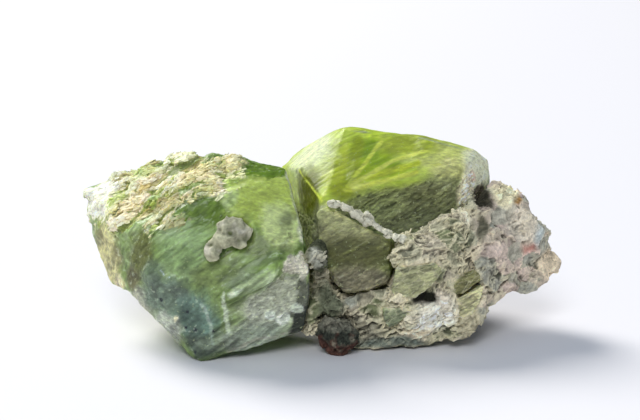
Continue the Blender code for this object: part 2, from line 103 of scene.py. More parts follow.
room = bpy.data.worlds.new("room")
room.use_nodes = True
around = room.node_tree.nodes["Background"]
around.inputs["Color"].default_value = (*ROOM_COLOUR, 1.0)
direction = room.node_tree.nodes.new("ShaderNodeTexCoord")
split = room.node_tree.nodes.new("ShaderNodeSeparateXYZ")
brighter_up = room.node_tree.nodes.new("ShaderNodeMapRange")
brighter_up.inputs["To Min"].default_value = ROOM_LOW
brighter_up.inputs["To Max"].default_value = ROOM_OVERHEAD
room.node_tree.links.new(direction.outputs["Generated"], split.inputs["Vector"])
room.node_tree.links.new(split.outputs["Z"], brighter_up.inputs["Value"])
room.node_tree.links.new(brighter_up.outputs["Result"], around.inputs["Strength"])
bpy.context.scene.world = room


def soft_light(name, place, size, power, colour):
    """A round soft light that faces the specimen."""
    light = bpy.data.objects.new(name, bpy.data.lights.new(name, "AREA"))
    light.data.shape = "DISK"
    light.data.size = size
    light.data.energy = power
    light.data.color = colour
    light.location = place
    light.rotation_euler = (-Vector(place)).to_track_quat("-Z", "Y").to_euler()
    bpy.context.scene.collection.objects.link(light)


soft_light("window", WINDOW_PLACE, WINDOW_SIZE, WINDOW_POWER, WINDOW_COLOUR)
soft_light("card", CARD_PLACE, CARD_SIZE, CARD_POWER, CARD_COLOUR)


# The left crystal: one large blocky peridot, cleaved and frosted, with a raised broken ledge in front.
# Its leaning top has altered to a cream and beige flaky crust, through which clear green shows in windows.
# It grew as one piece with the matrix and stands on its lowest point.
def fine_skin(name, node, grain):
    """A copy of a solid of the model with an even skin of small faces, this many millimetres across."""
    shape = bmesh.new()
    shape.from_mesh(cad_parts[node].data)
    bmesh.ops.remove_doubles(shape, verts=shape.verts, dist=0.001 * MM)
    mesh = bpy.data.meshes.new(name)
    shape.to_mesh(mesh)
    shape.free()
    piece = bpy.data.objects.new(name, mesh)
    bpy.context.scene.collection.objects.link(piece)
    skin = piece.modifiers.new("skin", "REMESH")
    skin.mode = "VOXEL"
    skin.voxel_size = grain * MM
    fine = bpy.data.meshes.new_from_object(piece.evaluated_get(bpy.context.evaluated_depsgraph_get()))
    piece.modifiers.clear()
    piece.data = fine
    fine.name = name
    return piece


def places_of(piece):
    """Every vertex place of a piece, and the way its surface faces there."""
    count = len(piece.data.vertices)
    places = np.empty(count * 3)
    piece.data.vertices.foreach_get("co", places)
    facing = np.empty(count * 3)
    piece.data.vertex_normals.foreach_get("vector", facing)
    return places.reshape(-1, 3) / MM, facing.reshape(-1, 3)


def put_places(piece, places):
    """Moves every vertex of a piece to its new place."""
    piece.data.vertices.foreach_set("co", (places * MM).ravel())
    piece.data.update()


# Millimetres, farther than any place of the specimen is from another
FAR = 99.0
# Turns the grid of the noise, so that its planes lie along none of the crystal faces
TURN = np.array([[0.80, 0.36, -0.48], [-0.60, 0.48, -0.64], [0.0, 0.80, 0.60]])


def chance(cells, seed):
    """An even random number from nought to one for each whole-number cell."""
    mixed = cells[..., 0] * 73856093 ^ cells[..., 1] * 19349663 ^ cells[..., 2] * 83492791 ^ seed * 2654435761
    mixed = (mixed ^ (mixed >> 13)) * 1274126177
    mixed = mixed ^ (mixed >> 16)
    return (mixed & 0xFFFFF) / 0xFFFFF


def swell(places, size, seed):
    """Smooth swells from -1 to 1, this many millimetres across."""
    spot = places @ TURN / size
    low = np.floor(spot).astype(np.int64)
    share = spot - low
    share = share * share * (3.0 - 2.0 * share)
    total = np.zeros(len(places))
    for corner in itertools.product((0, 1), repeat=3):
        weight = np.where(corner, share, 1.0 - share).prod(axis=1)
        total += weight * chance(low + np.array(corner), seed)
    return total * 2.0 - 1.0


def roughness(places, size, seed, rounds=4):
    """Swells on swells, each half the size and a little over half the height of the last."""
    total = np.zeros(len(places))
    height = 1.0
    for layer in range(rounds):
        total += height * swell(places, size / 2.0**layer, seed + layer)
        height *= 0.55
    return total / 2.0


def drawn_out(places, along, share):
    """Places squeezed to this share along one direction: a pattern on them comes out long that way."""
    along = np.array(along) / np.linalg.norm(along)
    return places - np.outer(places @ along, along) * (1.0 - share)


def streaks(places, along, width, length, seed, rounds=3):
    """Roughness drawn out along one direction: streaks this wide and this long."""
    return roughness(drawn_out(places, along, width / length), width, seed, rounds)


def warp(places, amount, size, seed, rounds):
    """Places pushed about by up to this many millimetres, so that the rims and bands on them run crooked."""
    pushes = [roughness(places, size, seed + axis, rounds) for axis in range(3)]
    return places + amount * np.stack(pushes, axis=1)


def ledges(value, steps):
    """Turns a smooth rise into flat treads with sharp broken edges between them."""
    level = value * steps
    tread = np.floor(level)
    return (tread + rise(0.62, 0.95, level - tread)) / steps


def flakes(places, size, seed):
    """Irregular flakes: how far a place is from its flake's edge, the flake's number and its tilted rise."""
    spot = places / size
    base = np.floor(spot).astype(np.int64)
    nearest = np.full(len(places), 9.0)
    second = np.full(len(places), 9.0)
    number = np.zeros(len(places))
    lean = np.zeros(len(places))
    for step in itertools.product((-1, 0, 1), repeat=3):
        cell = base + np.array(step)
        offset = spot - cell - np.stack([chance(cell, seed + axis) for axis in range(3)], axis=1)
        away = np.linalg.norm(offset, axis=1)
        tilt = sum(offset[:, axis] * (chance(cell, seed + 3 + axis) - 0.5) for axis in range(3))
        closer = away < nearest
        second = np.where(closer, nearest, np.minimum(second, away))
        number = np.where(closer, chance(cell, seed + 7), number)
        lean = np.where(closer, tilt, lean)
        nearest = np.where(closer, away, nearest)
    return second - nearest, number, lean * size


def rise(low, high, value):
    """A smooth step from nought at low to one at high."""
    share = np.clip((value - low) / (high - low), 0.0, 1.0)
    return share * share * (3.0 - 2.0 * share)


def hollows(piece, rounds):
    """How far each vertex lies under the surface round it, in millimetres: above nought in a hollow."""
    places, facing = places_of(piece)
    ends = np.empty(len(piece.data.edges) * 2, np.int32)
    piece.data.edges.foreach_get("vertices", ends)
    first, second = ends.reshape(-1, 2).T
    count = len(places)
    joined = (np.bincount(first, minlength=count) + np.bincount(second, minlength=count)).clip(1)
    smooth = places
    for _ in range(rounds):
        total = [np.bincount(first, smooth[second, axis], count) for axis in range(3)]
        total = [total[axis] + np.bincount(second, smooth[first, axis], count) for axis in range(3)]
        smooth = np.stack(total, axis=1) / joined[:, None]
    return ((smooth - places) * facing).sum(axis=1)


def spot_share(places, middle, reach, ragged, soft, seed):
    """One inside a ragged spot and nought outside it, with a rim this soft."""
    away = np.linalg.norm((places - np.array(middle)) / np.array(reach), axis=1)
    away += ragged * roughness(places, 1.4, seed, 4)
    return rise(1.0 + soft, 1.0 - soft, away)


def line_share(places, ends, width, seed):
    """One on a line through these ends and nought away from it."""
    nearest = np.full(len(places), FAR)
    for start, end in zip(ends, ends[1:]):
        start, end = np.array(start), np.array(end)
        along = np.clip((places - start) @ (end - start) / ((end - start) @ (end - start)), 0.0, 1.0)
        nearest = np.minimum(nearest, np.linalg.norm(places - start - along[:, None] * (end - start), axis=1))
    return rise(1.4, 0.5, nearest / width + 0.4 * roughness(places, 0.8, seed, 2))


def blend(under, over, share):
    """Lays one colour or number over another."""
    if under.ndim == 2:
        share = share[:, None]
    return under * (1.0 - share) + np.array(over) * share


def all_over(places, colour):
    """The same colour at every place."""
    return np.tile(np.array(colour), (len(places), 1))


def painted(places, tint, crust, zones, ragged, soft, seed):
    """Lays the named spots of colour and crust over each other, with ragged rims."""
    for index, (middle, reach, colour, dullness) in enumerate(zones):
        share = spot_share(places, middle, reach, ragged, soft, seed + index)
        tint = blend(tint, colour, share)
        crust = blend(crust, dullness, share)
    return tint, crust


def ruled(places, tint, crust, lines, seed):
    """Lays the named lines of colour and crust over the rest."""
    for index, (ends, width, colour, dullness) in enumerate(lines):
        share = line_share(places, ends, width, seed + index)
        tint = blend(tint, colour, share)
        crust = blend(crust, dullness, share)
    return tint, crust


def paint(piece, tint, crust):
    """Keeps the colour and the share of opaque crust of every vertex for the material to read."""
    mesh = piece.data
    if "tint" not in mesh.attributes:
        mesh.attributes.new("tint", "FLOAT_VECTOR", "POINT")
        mesh.attributes.new("crust", "FLOAT", "POINT")
    mesh.attributes["tint"].data.foreach_set("vector", np.clip(tint, 0.0, 1.0).astype(np.float32).ravel())
    mesh.attributes["crust"].data.foreach_set("value", np.clip(crust, 0.0, 1.0).astype(np.float32))
    mesh.update()


LEFT_GRAIN = 0.185
LEFT_GREEN = (0.32, 0.45, 0.13)
LEFT_HAZE = (0.66, 0.78, 0.46)
LEFT_SCRATCH = (0.82, 0.90, 0.70)
LEFT_ABSORBED = (0.74, 0.88, 0.26)
LEFT_DENSITY = 140.0
LEFT_CLEAR = 0.3
LEFT_GLOSS = 0.35
# Spots of colour, one over the other: middle, reach, colour and share of opaque crust
LEFT_ZONES = [
    ((-7.4, -7.6, 20.2), (5.6, 5.0, 4.0), (0.58, 0.70, 0.14), 0.2),
    ((-5.2, -10.4, 17.0), (2.6, 2.8, 3.4), (0.72, 0.82, 0.34), 0.25),
    ((-27.6, -2.8, 11.0), (2.2, 4.6, 4.2), (0.80, 0.74, 0.34), 0.3),
    ((-26.2, -5.2, 7.6), (1.2, 1.8, 1.4), (0.92, 0.80, 0.48), 0.4),
    ((-22.9, -9.2, 13.2), (2.1, 2.6, 3.4), (0.17, 0.19, 0.05), 0.3),
    ((-24.0, -8.0, 9.6), (1.6, 1.6, 1.6), (0.22, 0.21, 0.09), 0.3),
    ((-21.0, -10.6, 11.0), (2.2, 2.0, 1.7), (0.17, 0.23, 0.13), 0.2),
    ((-22.6, -8.6, 7.0), (2.6, 2.4, 1.8), (0.56, 0.56, 0.43), 0.5),
    ((-16.6, -12.4, 13.8), (4.6, 3.0, 3.4), (0.33, 0.46, 0.19), 0.15),
    ((-12.6, -13.8, 12.0), (3.2, 2.4, 2.0), (0.25, 0.33, 0.10), 0.15),
    ((-8.3, -12.4, 15.2), (1.8, 2.0, 1.6), (0.28, 0.35, 0.11), 0.1),
    ((-19.6, -11.4, 8.2), (3.8, 3.0, 3.2), (0.20, 0.27, 0.19), 0.25),
    ((-15.6, -12.9, 5.4), (2.8, 2.6, 3.6), (0.18, 0.29, 0.22), 0.2),
    ((-14.8, -12.8, 2.0), (1.8, 2.0, 1.8), (0.16, 0.21, 0.15), 0.35),
    ((-19.4, -10.6, 3.6), (2.4, 2.4, 2.4), (0.58, 0.62, 0.50), 0.45),
    ((-6.4, -12.4, 6.6), (5.4, 2.4, 3.8), (0.49, 0.51, 0.38), 0.85),
    ((-4.2, -12.3, 9.6), (2.8, 2.0, 2.0), (0.48, 0.50, 0.36), 0.8),
    ((-9.0, -11.6, 2.6), (5.6, 3.0, 2.4), (0.38, 0.43, 0.32), 0.6),
    ((-8.6, -14.8, 10.8), (3.8, 1.6, 1.4), (0.36, 0.44, 0.23), 0.25),
]
LEFT_PATCHES = [
    # Painted shade: the dark seam low down beside the block, darkest at its foot
    ((-2.4, -10.4, 7.0), (1.5, 2.6, 4.4), (0.16, 0.17, 0.12), 0.85),
    ((-2.2, -10.2, 4.6), (1.8, 2.6, 2.6), (0.05, 0.055, 0.04), 0.9),
    ((-3.2, -12.4, 12.6), (2.2, 1.6, 1.1), (0.60, 0.57, 0.44), 0.95),
    ((-2.3, -11.9, 11.4), (1.0, 1.4, 1.1), (0.58, 0.56, 0.43), 0.95),
    ((-4.9, -13.2, 11.2), (0.5, 0.8, 0.8), (0.26, 0.28, 0.17), 0.9),
    ((-6.1, -12.2, 5.9), (0.8, 1.2, 0.65), (0.70, 0.76, 0.62), 0.95),
    ((-4.6, -11.8, 5.2), (0.9, 1.2, 0.65), (0.70, 0.75, 0.61), 0.95),
    ((-3.4, -11.5, 6.4), (0.65, 1.0, 0.8), (0.68, 0.73, 0.58), 0.95),
]
LEFT_CRUST_SPOTS = [
    ((-29.0, 0.5, 17.4), (2.6, 4.0, 2.8), (1.00, 1.00, 0.80), 0.75),
    ((-26.5, 2.0, 19.4), (3.0, 4.0, 1.8), (0.99, 1.00, 0.84), 0.85),
    ((-22.4, 1.6, 21.2), (3.0, 3.6, 1.6), (0.66, 0.72, 0.32), 0.6),
    ((-25.8, -2.4, 18.0), (2.4, 3.2, 1.6), (1.00, 0.96, 0.66), 0.9),
    ((-26.0, -5.0, 15.9), (2.4, 2.0, 1.4), (1.00, 0.93, 0.76), 0.95),
    ((-23.4, -4.6, 17.6), (2.6, 2.4, 2.0), (0.90, 0.80, 0.56), 0.95),
    ((-21.4, -2.2, 20.0), (2.8, 3.0, 1.6), (0.96, 0.90, 0.68), 0.95),
    ((-18.2, -3.4, 21.4), (3.2, 3.2, 1.6), (0.96, 0.93, 0.72), 0.95),
    ((-17.6, 0.4, 22.9), (3.4, 3.0, 2.0), (0.96, 0.98, 0.74), 0.8),
    ((-14.8, -4.4, 22.2), (3.4, 3.2, 1.6), (0.82, 0.74, 0.40), 0.95),
    ((-11.6, -3.8, 22.6), (2.4, 2.4, 1.4), (0.86, 0.84, 0.48), 0.9),
    ((-19.9, -7.4, 18.6), (2.6, 1.8, 1.6), (0.44, 0.40, 0.18), 0.7),
    ((-20.2, -8.6, 17.2), (2.0, 1.6, 1.3), (0.66, 0.66, 0.48), 0.95),
    ((-18.0, -9.8, 17.0), (1.6, 1.0, 0.9), (0.32, 0.36, 0.16), 0.5),
    ((-15.5, -7.8, 19.8), (2.2, 1.5, 0.8), (0.84, 0.78, 0.48), 0.9),
    ((-12.6, -8.2, 20.4), (2.2, 1.2, 0.5), (0.88, 0.88, 0.74), 0.9),
    ((-22.4, -2.0, 20.2), (0.9, 1.2, 0.8), (0.62, 0.46, 0.12), 0.7),
    ((-25.3, -5.9, 15.5), (0.7, 0.7, 0.6), (0.72, 0.58, 0.28), 0.9),
    ((-20.0, -2.6, 20.6), (0.5, 1.0, 0.8), (0.80, 0.70, 0.34), 0.9),
]
LEFT_WINDOWS = [
    ((-26.5, -2.0, 18.5), (1.0, 1.6, 0.9), (0.52, 0.64, 0.16), 0.3),
    ((-23.0, 2.6, 21.0), (2.4, 1.6, 1.0), (0.56, 0.72, 0.22), 0.3),
    ((-14.6, 2.6, 23.0), (2.4, 2.0, 1.5), (0.36, 0.46, 0.08), 0.2),
    ((-18.9, -5.9, 20.2), (0.9, 1.4, 0.6), (0.40, 0.44, 0.08), 0.25),
    ((-15.9, -7.2, 20.9), (1.5, 1.3, 0.9), (0.24, 0.34, 0.05), 0.2),
    ((-13.9, -7.2, 21.4), (1.3, 1.4, 1.1), (0.66, 0.66, 0.26), 0.5),
    ((-20.6, -5.4, 19.4), (0.8, 1.0, 0.5), (0.30, 0.38, 0.08), 0.2),
    ((-14.6, -9.6, 18.5), (3.4, 2.4, 1.6), (0.17, 0.26, 0.04), 0.0),
    ((-7.5, -3.6, 22.6), (3.6, 2.2, 1.5), (0.15, 0.26, 0.005), 0.0),
]
# Lines of colour: the places that each runs through, its width, its colour and its share of crust
LEFT_LINES = [
    ([(-4.5, -3.7, 21.9), (-3.7, -6.8, 19.4), (-2.8, -9.0, 16.9), (-2.1, -11.9, 14.6)], 0.5,
     (0.70, 0.72, 0.46), 0.5),
    ([(-12.1, -14.8, 9.2), (-11.9, -14.0, 6.9), (-11.6, -12.9, 3.9)], 0.35, (0.62, 0.70, 0.50), 0.5),
    ([(-14.8, -13.3, 7.5), (-13.9, -13.5, 4.7), (-13.3, -12.9, 2.0)], 0.25, (0.44, 0.54, 0.44), 0.3),
    # Painted light and shade on the broken ledge: a painted highlight at its left corner, its upper side
    # painted lighter, and painted shade along its lower side
    ([(-11.4, -15.4, 9.5), (-10.6, -15.3, 10.1)], 0.5, (0.62, 0.70, 0.52), 0.6),
    ([(-11.6, -15.3, 9.6), (-8.9, -15.1, 11.3), (-6.7, -14.5, 12.7)], 0.25, (0.40, 0.48, 0.26), 0.4),
    ([(-10.8, -14.6, 8.6), (-8.2, -14.2, 10.2), (-5.6, -13.4, 11.6)], 0.4, (0.20, 0.28, 0.10), 0.2),
    ([(-18.9, -11.8, 5.3), (-18.5, -11.9, 5.0), (-18.1, -12.0, 5.6)], 0.24, (0.86, 0.82, 0.56), 0.7),
    ([(-21.3, -10.9, 11.0), (-20.1, -11.6, 11.3), (-19.0, -12.0, 10.9)], 0.12, (0.66, 0.76, 0.80), 0.4),
    ([(-15.2, -7.0, 21.9), (-13.9, -6.4, 22.3), (-12.6, -7.2, 21.6), (-12.6, -8.2, 20.8)], 0.3,
     (0.92, 0.88, 0.66), 0.8),
    ([(-12.0, -12.6, 1.0), (-8.0, -12.0, 2.6), (-3.4, -10.4, 3.8)], 0.3, (0.42, 0.42, 0.32), 0.8),
]
# Dark specks: middle and reach
LEFT_SPECKS = [
    ((-16.9, -2.5, 22.3), 0.55),
    ((-20.1, -11.3, 7.7), 0.28),
    ((-16.8, -12.5, 6.5), 0.24),
    ((-17.0, -12.4, 4.4), 0.22),
    ((-15.8, -12.9, 4.3), 0.26),
    ((-13.5, -13.5, 4.3), 0.26),
    ((-15.9, -12.4, 1.2), 0.22),
    ((-11.9, -3.2, 22.9), 0.24),
]
SPECK_COLOUR = (0.02, 0.025, 0.035)
CRUST_COLOURS = [
    (0.98, 0.90, 0.62),
    (0.98, 0.84, 0.62),
    (0.84, 0.77, 0.44),
    (1.00, 0.97, 0.74),
    (0.86, 0.86, 0.46),
]
# Painted shade: how much darker the crust's ground is in the gaps between and under the flakes
PAINTED_SHADE_UNDER_FLAKES = (0.84, 0.76, 0.58)
CRUST_HOLES = [(0.30, 0.38, 0.04), (0.44, 0.38, 0.12), (0.44, 0.54, 0.12), (0.18, 0.24, 0.03)]
# The white tip and the smoother face beside the seam: middle and reach
LEFT_TIP = ((-28.8, 0.6, 17.8), (2.8, 4.5, 2.8))
LEFT_SMOOTH_FACE = ((-6.8, -8.0, 19.4), (5.4, 5.6, 4.6))
FLAKES_ALONG = (0.90, 0.06, 0.43)
STRIAE_ALONG = (0.80, 0.10, 0.60)

left = fine_skin("left_crystal_skin", "left_crystal", LEFT_GRAIN)
spots, facing = places_of(left)

# Flakes of two sizes that swirl along the crust, and crooked places for the rims of the spots
swirled = drawn_out(spots, FLAKES_ALONG, 0.45)
swirled += 0.7 * np.stack([swell(spots, 2.4, 3 + axis) for axis in range(3)], axis=1)
_, flake, lean = flakes(swirled, size=1.3, seed=5)
_, small_flake, small_lean = flakes(swirled, size=0.5, seed=15)
warped = warp(spots, amount=0.8, size=2.4, seed=11, rounds=4)

# Colour and crust, laid on from the broad spots to the small ones
crust = np.zeros(len(spots))
tint = all_over(spots, LEFT_GREEN)
tint *= (1.0 + 0.22 * roughness(warped, 5.0, 21))[:, None]
tint, crust = painted(warped, tint, crust, LEFT_ZONES, ragged=0.35, soft=0.35, seed=31)
tint, crust = painted(warped, tint, crust, LEFT_PATCHES, ragged=0.55, soft=0.1, seed=171)
sandy = rise(0.7, 0.85, crust)
clouds = roughness(drawn_out(warped, STRIAE_ALONG, 0.4), 2.4, 27, 4)
tint = blend(tint, LEFT_HAZE, 0.5 * (1.0 - sandy) * rise(0.15, 0.6, clouds))
tint *= (1.0 - 0.55 * (1.0 - sandy) * rise(-0.05, -0.5, clouds))[:, None]
facets = crust.copy()
chipped = warped + 0.6 * (small_flake - 0.5)[:, None] + 0.8 * (flake - 0.5)[:, None]
tint, crust = painted(chipped, tint, crust, LEFT_CRUST_SPOTS, ragged=0.5, soft=0.15, seed=61)
tint, crust = painted(chipped, tint, crust, LEFT_WINDOWS, ragged=0.5, soft=0.2, seed=91)
tip = spot_share(spots, *LEFT_TIP, ragged=0.3, soft=0.3, seed=187)
flaky = rise(0.15, 0.45, crust - facets) * (1.0 - sandy) * (1.0 - 0.85 * tip)
green = 1.0 - np.maximum(flaky, sandy)
tint, crust = ruled(warped, tint, crust, LEFT_LINES, seed=121)
for index, (middle, reach) in enumerate(LEFT_SPECKS):
    speck = spot_share(spots, middle, (reach, reach, reach), ragged=0.2, soft=0.25, seed=151 + index)
    tint = blend(tint, SPECK_COLOUR, speck)

# The relief: thin broken plates on the crust, and striae and low steps on the green faces
heap = roughness(swirled, size=1.6, seed=25, rounds=3)
plates = 0.25 * (flake - 0.5) + 0.55 * lean + 0.10 * (small_flake - 0.5) + 0.35 * small_lean + 0.75 * heap
lines = streaks(spots, STRIAE_ALONG, width=0.35, length=3.4, seed=41)
scratches = np.abs(streaks(warped, STRIAE_ALONG, width=0.9, length=5.0, seed=43, rounds=2))
steps = ledges(0.5 + 0.5 * streaks(spots, STRIAE_ALONG, width=1.4, length=6.0, seed=45, rounds=2), 4.0) - 0.5
smooth_face = spot_share(spots, *LEFT_SMOOTH_FACE, ragged=0.3, soft=0.4, seed=181)
green_relief = green * (1.0 - 0.7 * smooth_face)
height = flaky * plates + sandy * (0.10 * roughness(spots, 0.45, 51, 2) + 0.2 * small_lean)
height += green_relief * (0.05 * lines + 0.25 * steps + 0.12 * lean + 0.05 * small_lean)
height *= rise(0.1, 0.8, spots[:, 2]) * (1.0 - 0.6 * tip)
put_places(left, spots + facing * height[:, None])

# Painted shade in the hollows and painted light on the ridges and edges, painted shade on the crust's ground
# under the flakes, and clear green where the crust has opened
deep = hollows(left, rounds=8)
fine = hollows(left, rounds=2)
opened = flaky * np.maximum(rise(0.04, 0.12, deep), rise(0.0, -0.16, heap))
tint = blend(tint, np.array(CRUST_COLOURS)[(flake * 4.99).astype(int)], 0.4 * flaky)
crust_tint = tint * (1.0 + 0.16 * (small_flake - 0.3))[:, None]
# Painted shade on the crust's ground between the flakes; the flakes keep the colour taken just before
tint = blend(tint, tint * np.array(PAINTED_SHADE_UNDER_FLAKES), 0.8 * flaky)
tint = blend(tint, np.array(CRUST_HOLES)[(flake * 3.99).astype(int)], 0.9 * opened)
crust = blend(crust, 0.15, 0.7 * opened)
tint *= (1.0 + 0.7 * green_relief * lines + (0.10 + 0.45 * sandy) * (small_flake - 0.5))[:, None]
# Painted shade: darker in the fine and the broad hollows, most on the sandy places, and a little lighter on
# the ridges
shade = 1.0 - (2.0 + 4.0 * sandy + flaky) * np.clip(fine, -0.04, 0.06) - 1.2 * np.clip(deep, -0.1, 0.12)
tint *= shade[:, None]
scratched = 0.5 * green_relief * rise(0.05, 0.01, scratches) * rise(0.0, 0.3, lines)
tint = blend(tint, LEFT_SCRATCH, scratched)
paint(left, tint, crust)


def wire(tree, kind, values=(), **links):
    """A new node with these input values, and links given as input_name=socket."""
    node = tree.nodes.new(kind)
    for name, value in dict(values).items():
        if hasattr(node, name):
            setattr(node, name, value)
        else:
            node.inputs[name].default_value = value
    for name, socket in links.items():
        tree.links.new(socket, node.inputs[name.replace("_", " ")])
    return node


def noise(tree, grain, where):
    """Fine grain: a value for each place, mostly between 0.3 and 0.7."""
    return wire(tree, "ShaderNodeTexNoise", grain, Vector=where).outputs["Fac"]


def ramp(tree, value, start, end, low, high):
    """Turns a value that runs from start to end into one that runs from low to high."""
    values = {"From Min": start, "From Max": end, "To Min": low, "To Max": high}
    return wire(tree, "ShaderNodeMapRange", values, Value=value).outputs["Result"]


def shaded(tree, colour, strength):
    """A colour made lighter or darker by this much."""
    scaled = wire(tree, "ShaderNodeVectorMath", {"operation": "SCALE"}, Vector=colour, Scale=strength)
    return scaled.outputs["Vector"]


def rough_grain(tree, shader, height, strength, distance):
    """Fine unevenness of the surface, this many metres high."""
    bump = wire(tree, "ShaderNodeBump", {"Strength": strength, "Distance": distance}, Height=height)
    tree.links.new(bump.outputs["Normal"], shader.inputs["Normal"])


PERIDOT_IOR = 1.67
SPECULAR_LEVEL = 0.2
CRUST_ROUGHNESS = 0.85
# How far the mottling swings the colour, in the clear crystal and in its crust
CLEAR_MOTTLING = 0.14
CRUST_MOTTLING = 0.48
MOTTLES = {"Scale": 3000.0, "Detail": 5.0, "Roughness": 0.7}
MOTTLES_DRAWN_OUT = {"Rotation": (0.0, 0.65, 0.0), "Scale": (0.35, 1.0, 1.0)}
# Painted glints: the grain and the colour of tiny pale highlights mixed into the crystal's colour
GLINTS = {"Scale": 2400.0, "Detail": 3.0, "Roughness": 0.6}
GLINT_COLOUR = (0.80, 0.88, 0.46, 1.0)
FINE_GRAIN = {"Scale": 2600.0, "Detail": 4.0, "Roughness": 0.7}
# The milky haze just under the surface: its share, how far each colour reaches, and the reach in metres
HAZE_SHARE = 0.4
HAZE_COLOURS = (0.8, 1.0, 0.3)
HAZE_REACH = 0.0006


def crystal_finish(name, absorbed, density, clear, gloss):
    """See-through green crystal, opaque, rough and mottled where crusted, with painted pale glints."""
    material, tree, shader = new_material(name)
    links = tree.links
    where = tree.nodes.new("ShaderNodeTexCoord").outputs["Object"]
    tint = wire(tree, "ShaderNodeAttribute", {"attribute_name": "tint"}).outputs["Vector"]
    crust = wire(tree, "ShaderNodeAttribute", {"attribute_name": "crust"}).outputs["Fac"]
    drawn = wire(tree, "ShaderNodeMapping", MOTTLES_DRAWN_OUT, Vector=where).outputs["Vector"]
    swing = ramp(tree, noise(tree, MOTTLES, drawn), 0.3, 0.7, -1.0, 1.0)
    spread = ramp(tree, crust, 0.0, 0.5, CLEAR_MOTTLING, CRUST_MOTTLING)
    mottle = wire(tree, "ShaderNodeMath", {"operation": "MULTIPLY_ADD"}, Value=swing)
    links.new(spread, mottle.inputs[1])
    mottle.inputs[2].default_value = 1.0
    # Painted glints: tiny pale highlights laid into the colour, more of them where the crystal is crusted
    glint = ramp(tree, noise(tree, GLINTS, where), 0.63, 0.70, 0.0, 1.0)
    pale = wire(tree, "ShaderNodeMath", {"operation": "MULTIPLY"}, Value=glint)
    links.new(spread, pale.inputs[1])
    mottled_and_glinting = wire(tree, "ShaderNodeMix", {"data_type": "RGBA", "B": GLINT_COLOUR})
    links.new(pale.outputs["Value"], mottled_and_glinting.inputs["Factor"])
    links.new(shaded(tree, tint, mottle.outputs["Value"]), mottled_and_glinting.inputs["A"])
    links.new(mottled_and_glinting.outputs["Result"], shader.inputs["Base Color"])
    links.new(ramp(tree, crust, 0.0, 1.0, clear, 0.0), shader.inputs["Transmission Weight"])
    links.new(ramp(tree, crust, 0.0, 1.0, gloss, CRUST_ROUGHNESS), shader.inputs["Roughness"])
    rough_grain(tree, shader, noise(tree, FINE_GRAIN, where), strength=0.4, distance=0.0001)
    shader.inputs["IOR"].default_value = PERIDOT_IOR
    shader.inputs["Specular IOR Level"].default_value = SPECULAR_LEVEL
    shader.inputs["Subsurface Weight"].default_value = HAZE_SHARE
    shader.inputs["Subsurface Radius"].default_value = HAZE_COLOURS
    shader.inputs["Subsurface Scale"].default_value = HAZE_REACH
    inside = wire(tree, "ShaderNodeVolumeAbsorption", {"Color": (*absorbed, 1.0), "Density": density})
    links.new(inside.outputs["Volume"], tree.nodes["Material Output"].inputs["Volume"])
    return material


left_finish = crystal_finish("left peridot", LEFT_ABSORBED, LEFT_DENSITY, LEFT_CLEAR, LEFT_GLOSS)
left.data.materials.append(left_finish)
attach(left, "root")
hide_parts("left_crystal")


# The crust flakes: thin broken plates of altered cream olivine, lying over each other on the left crystal's
# top. They have grown out of the crust under them, and each keeps its colour.
PLATES_PER_SQUARE_MM = 6.0
SMALLEST_PLATE = (0.2, 0.5, 0.05)
LARGEST_PLATE = (0.5, 1.4, 0.11)
PLATE_TILT = 0.34
PLATE_BREAK = 0.36
PLATE_CORNERS = 7
CRUMPLES = {"Scale": 1700.0, "Detail": 1.0}
STONE_GRAIN = {"Scale": 2400.0, "Detail": 6.0, "Roughness": 0.75}


def stone_finish(name, mottling, dullness):
    """Dry rough stone in its painted colours."""
    material, tree, shader = new_material(name)
    where = tree.nodes.new("ShaderNodeTexCoord").outputs["Object"]
    tint = wire(tree, "ShaderNodeAttribute", {"attribute_name": "tint"}).outputs["Vector"]
    grain = noise(tree, STONE_GRAIN, where)
    mottle = ramp(tree, grain, 0.3, 0.7, 1.0 - mottling, 1.0 + mottling)
    tree.links.new(shaded(tree, tint, mottle), shader.inputs["Base Color"])
    shader.inputs["Roughness"].default_value = dullness
    shader.inputs["Specular IOR Level"].default_value = SPECULAR_LEVEL
    rough_grain(tree, shader, grain, strength=0.6, distance=0.00014)
    return material


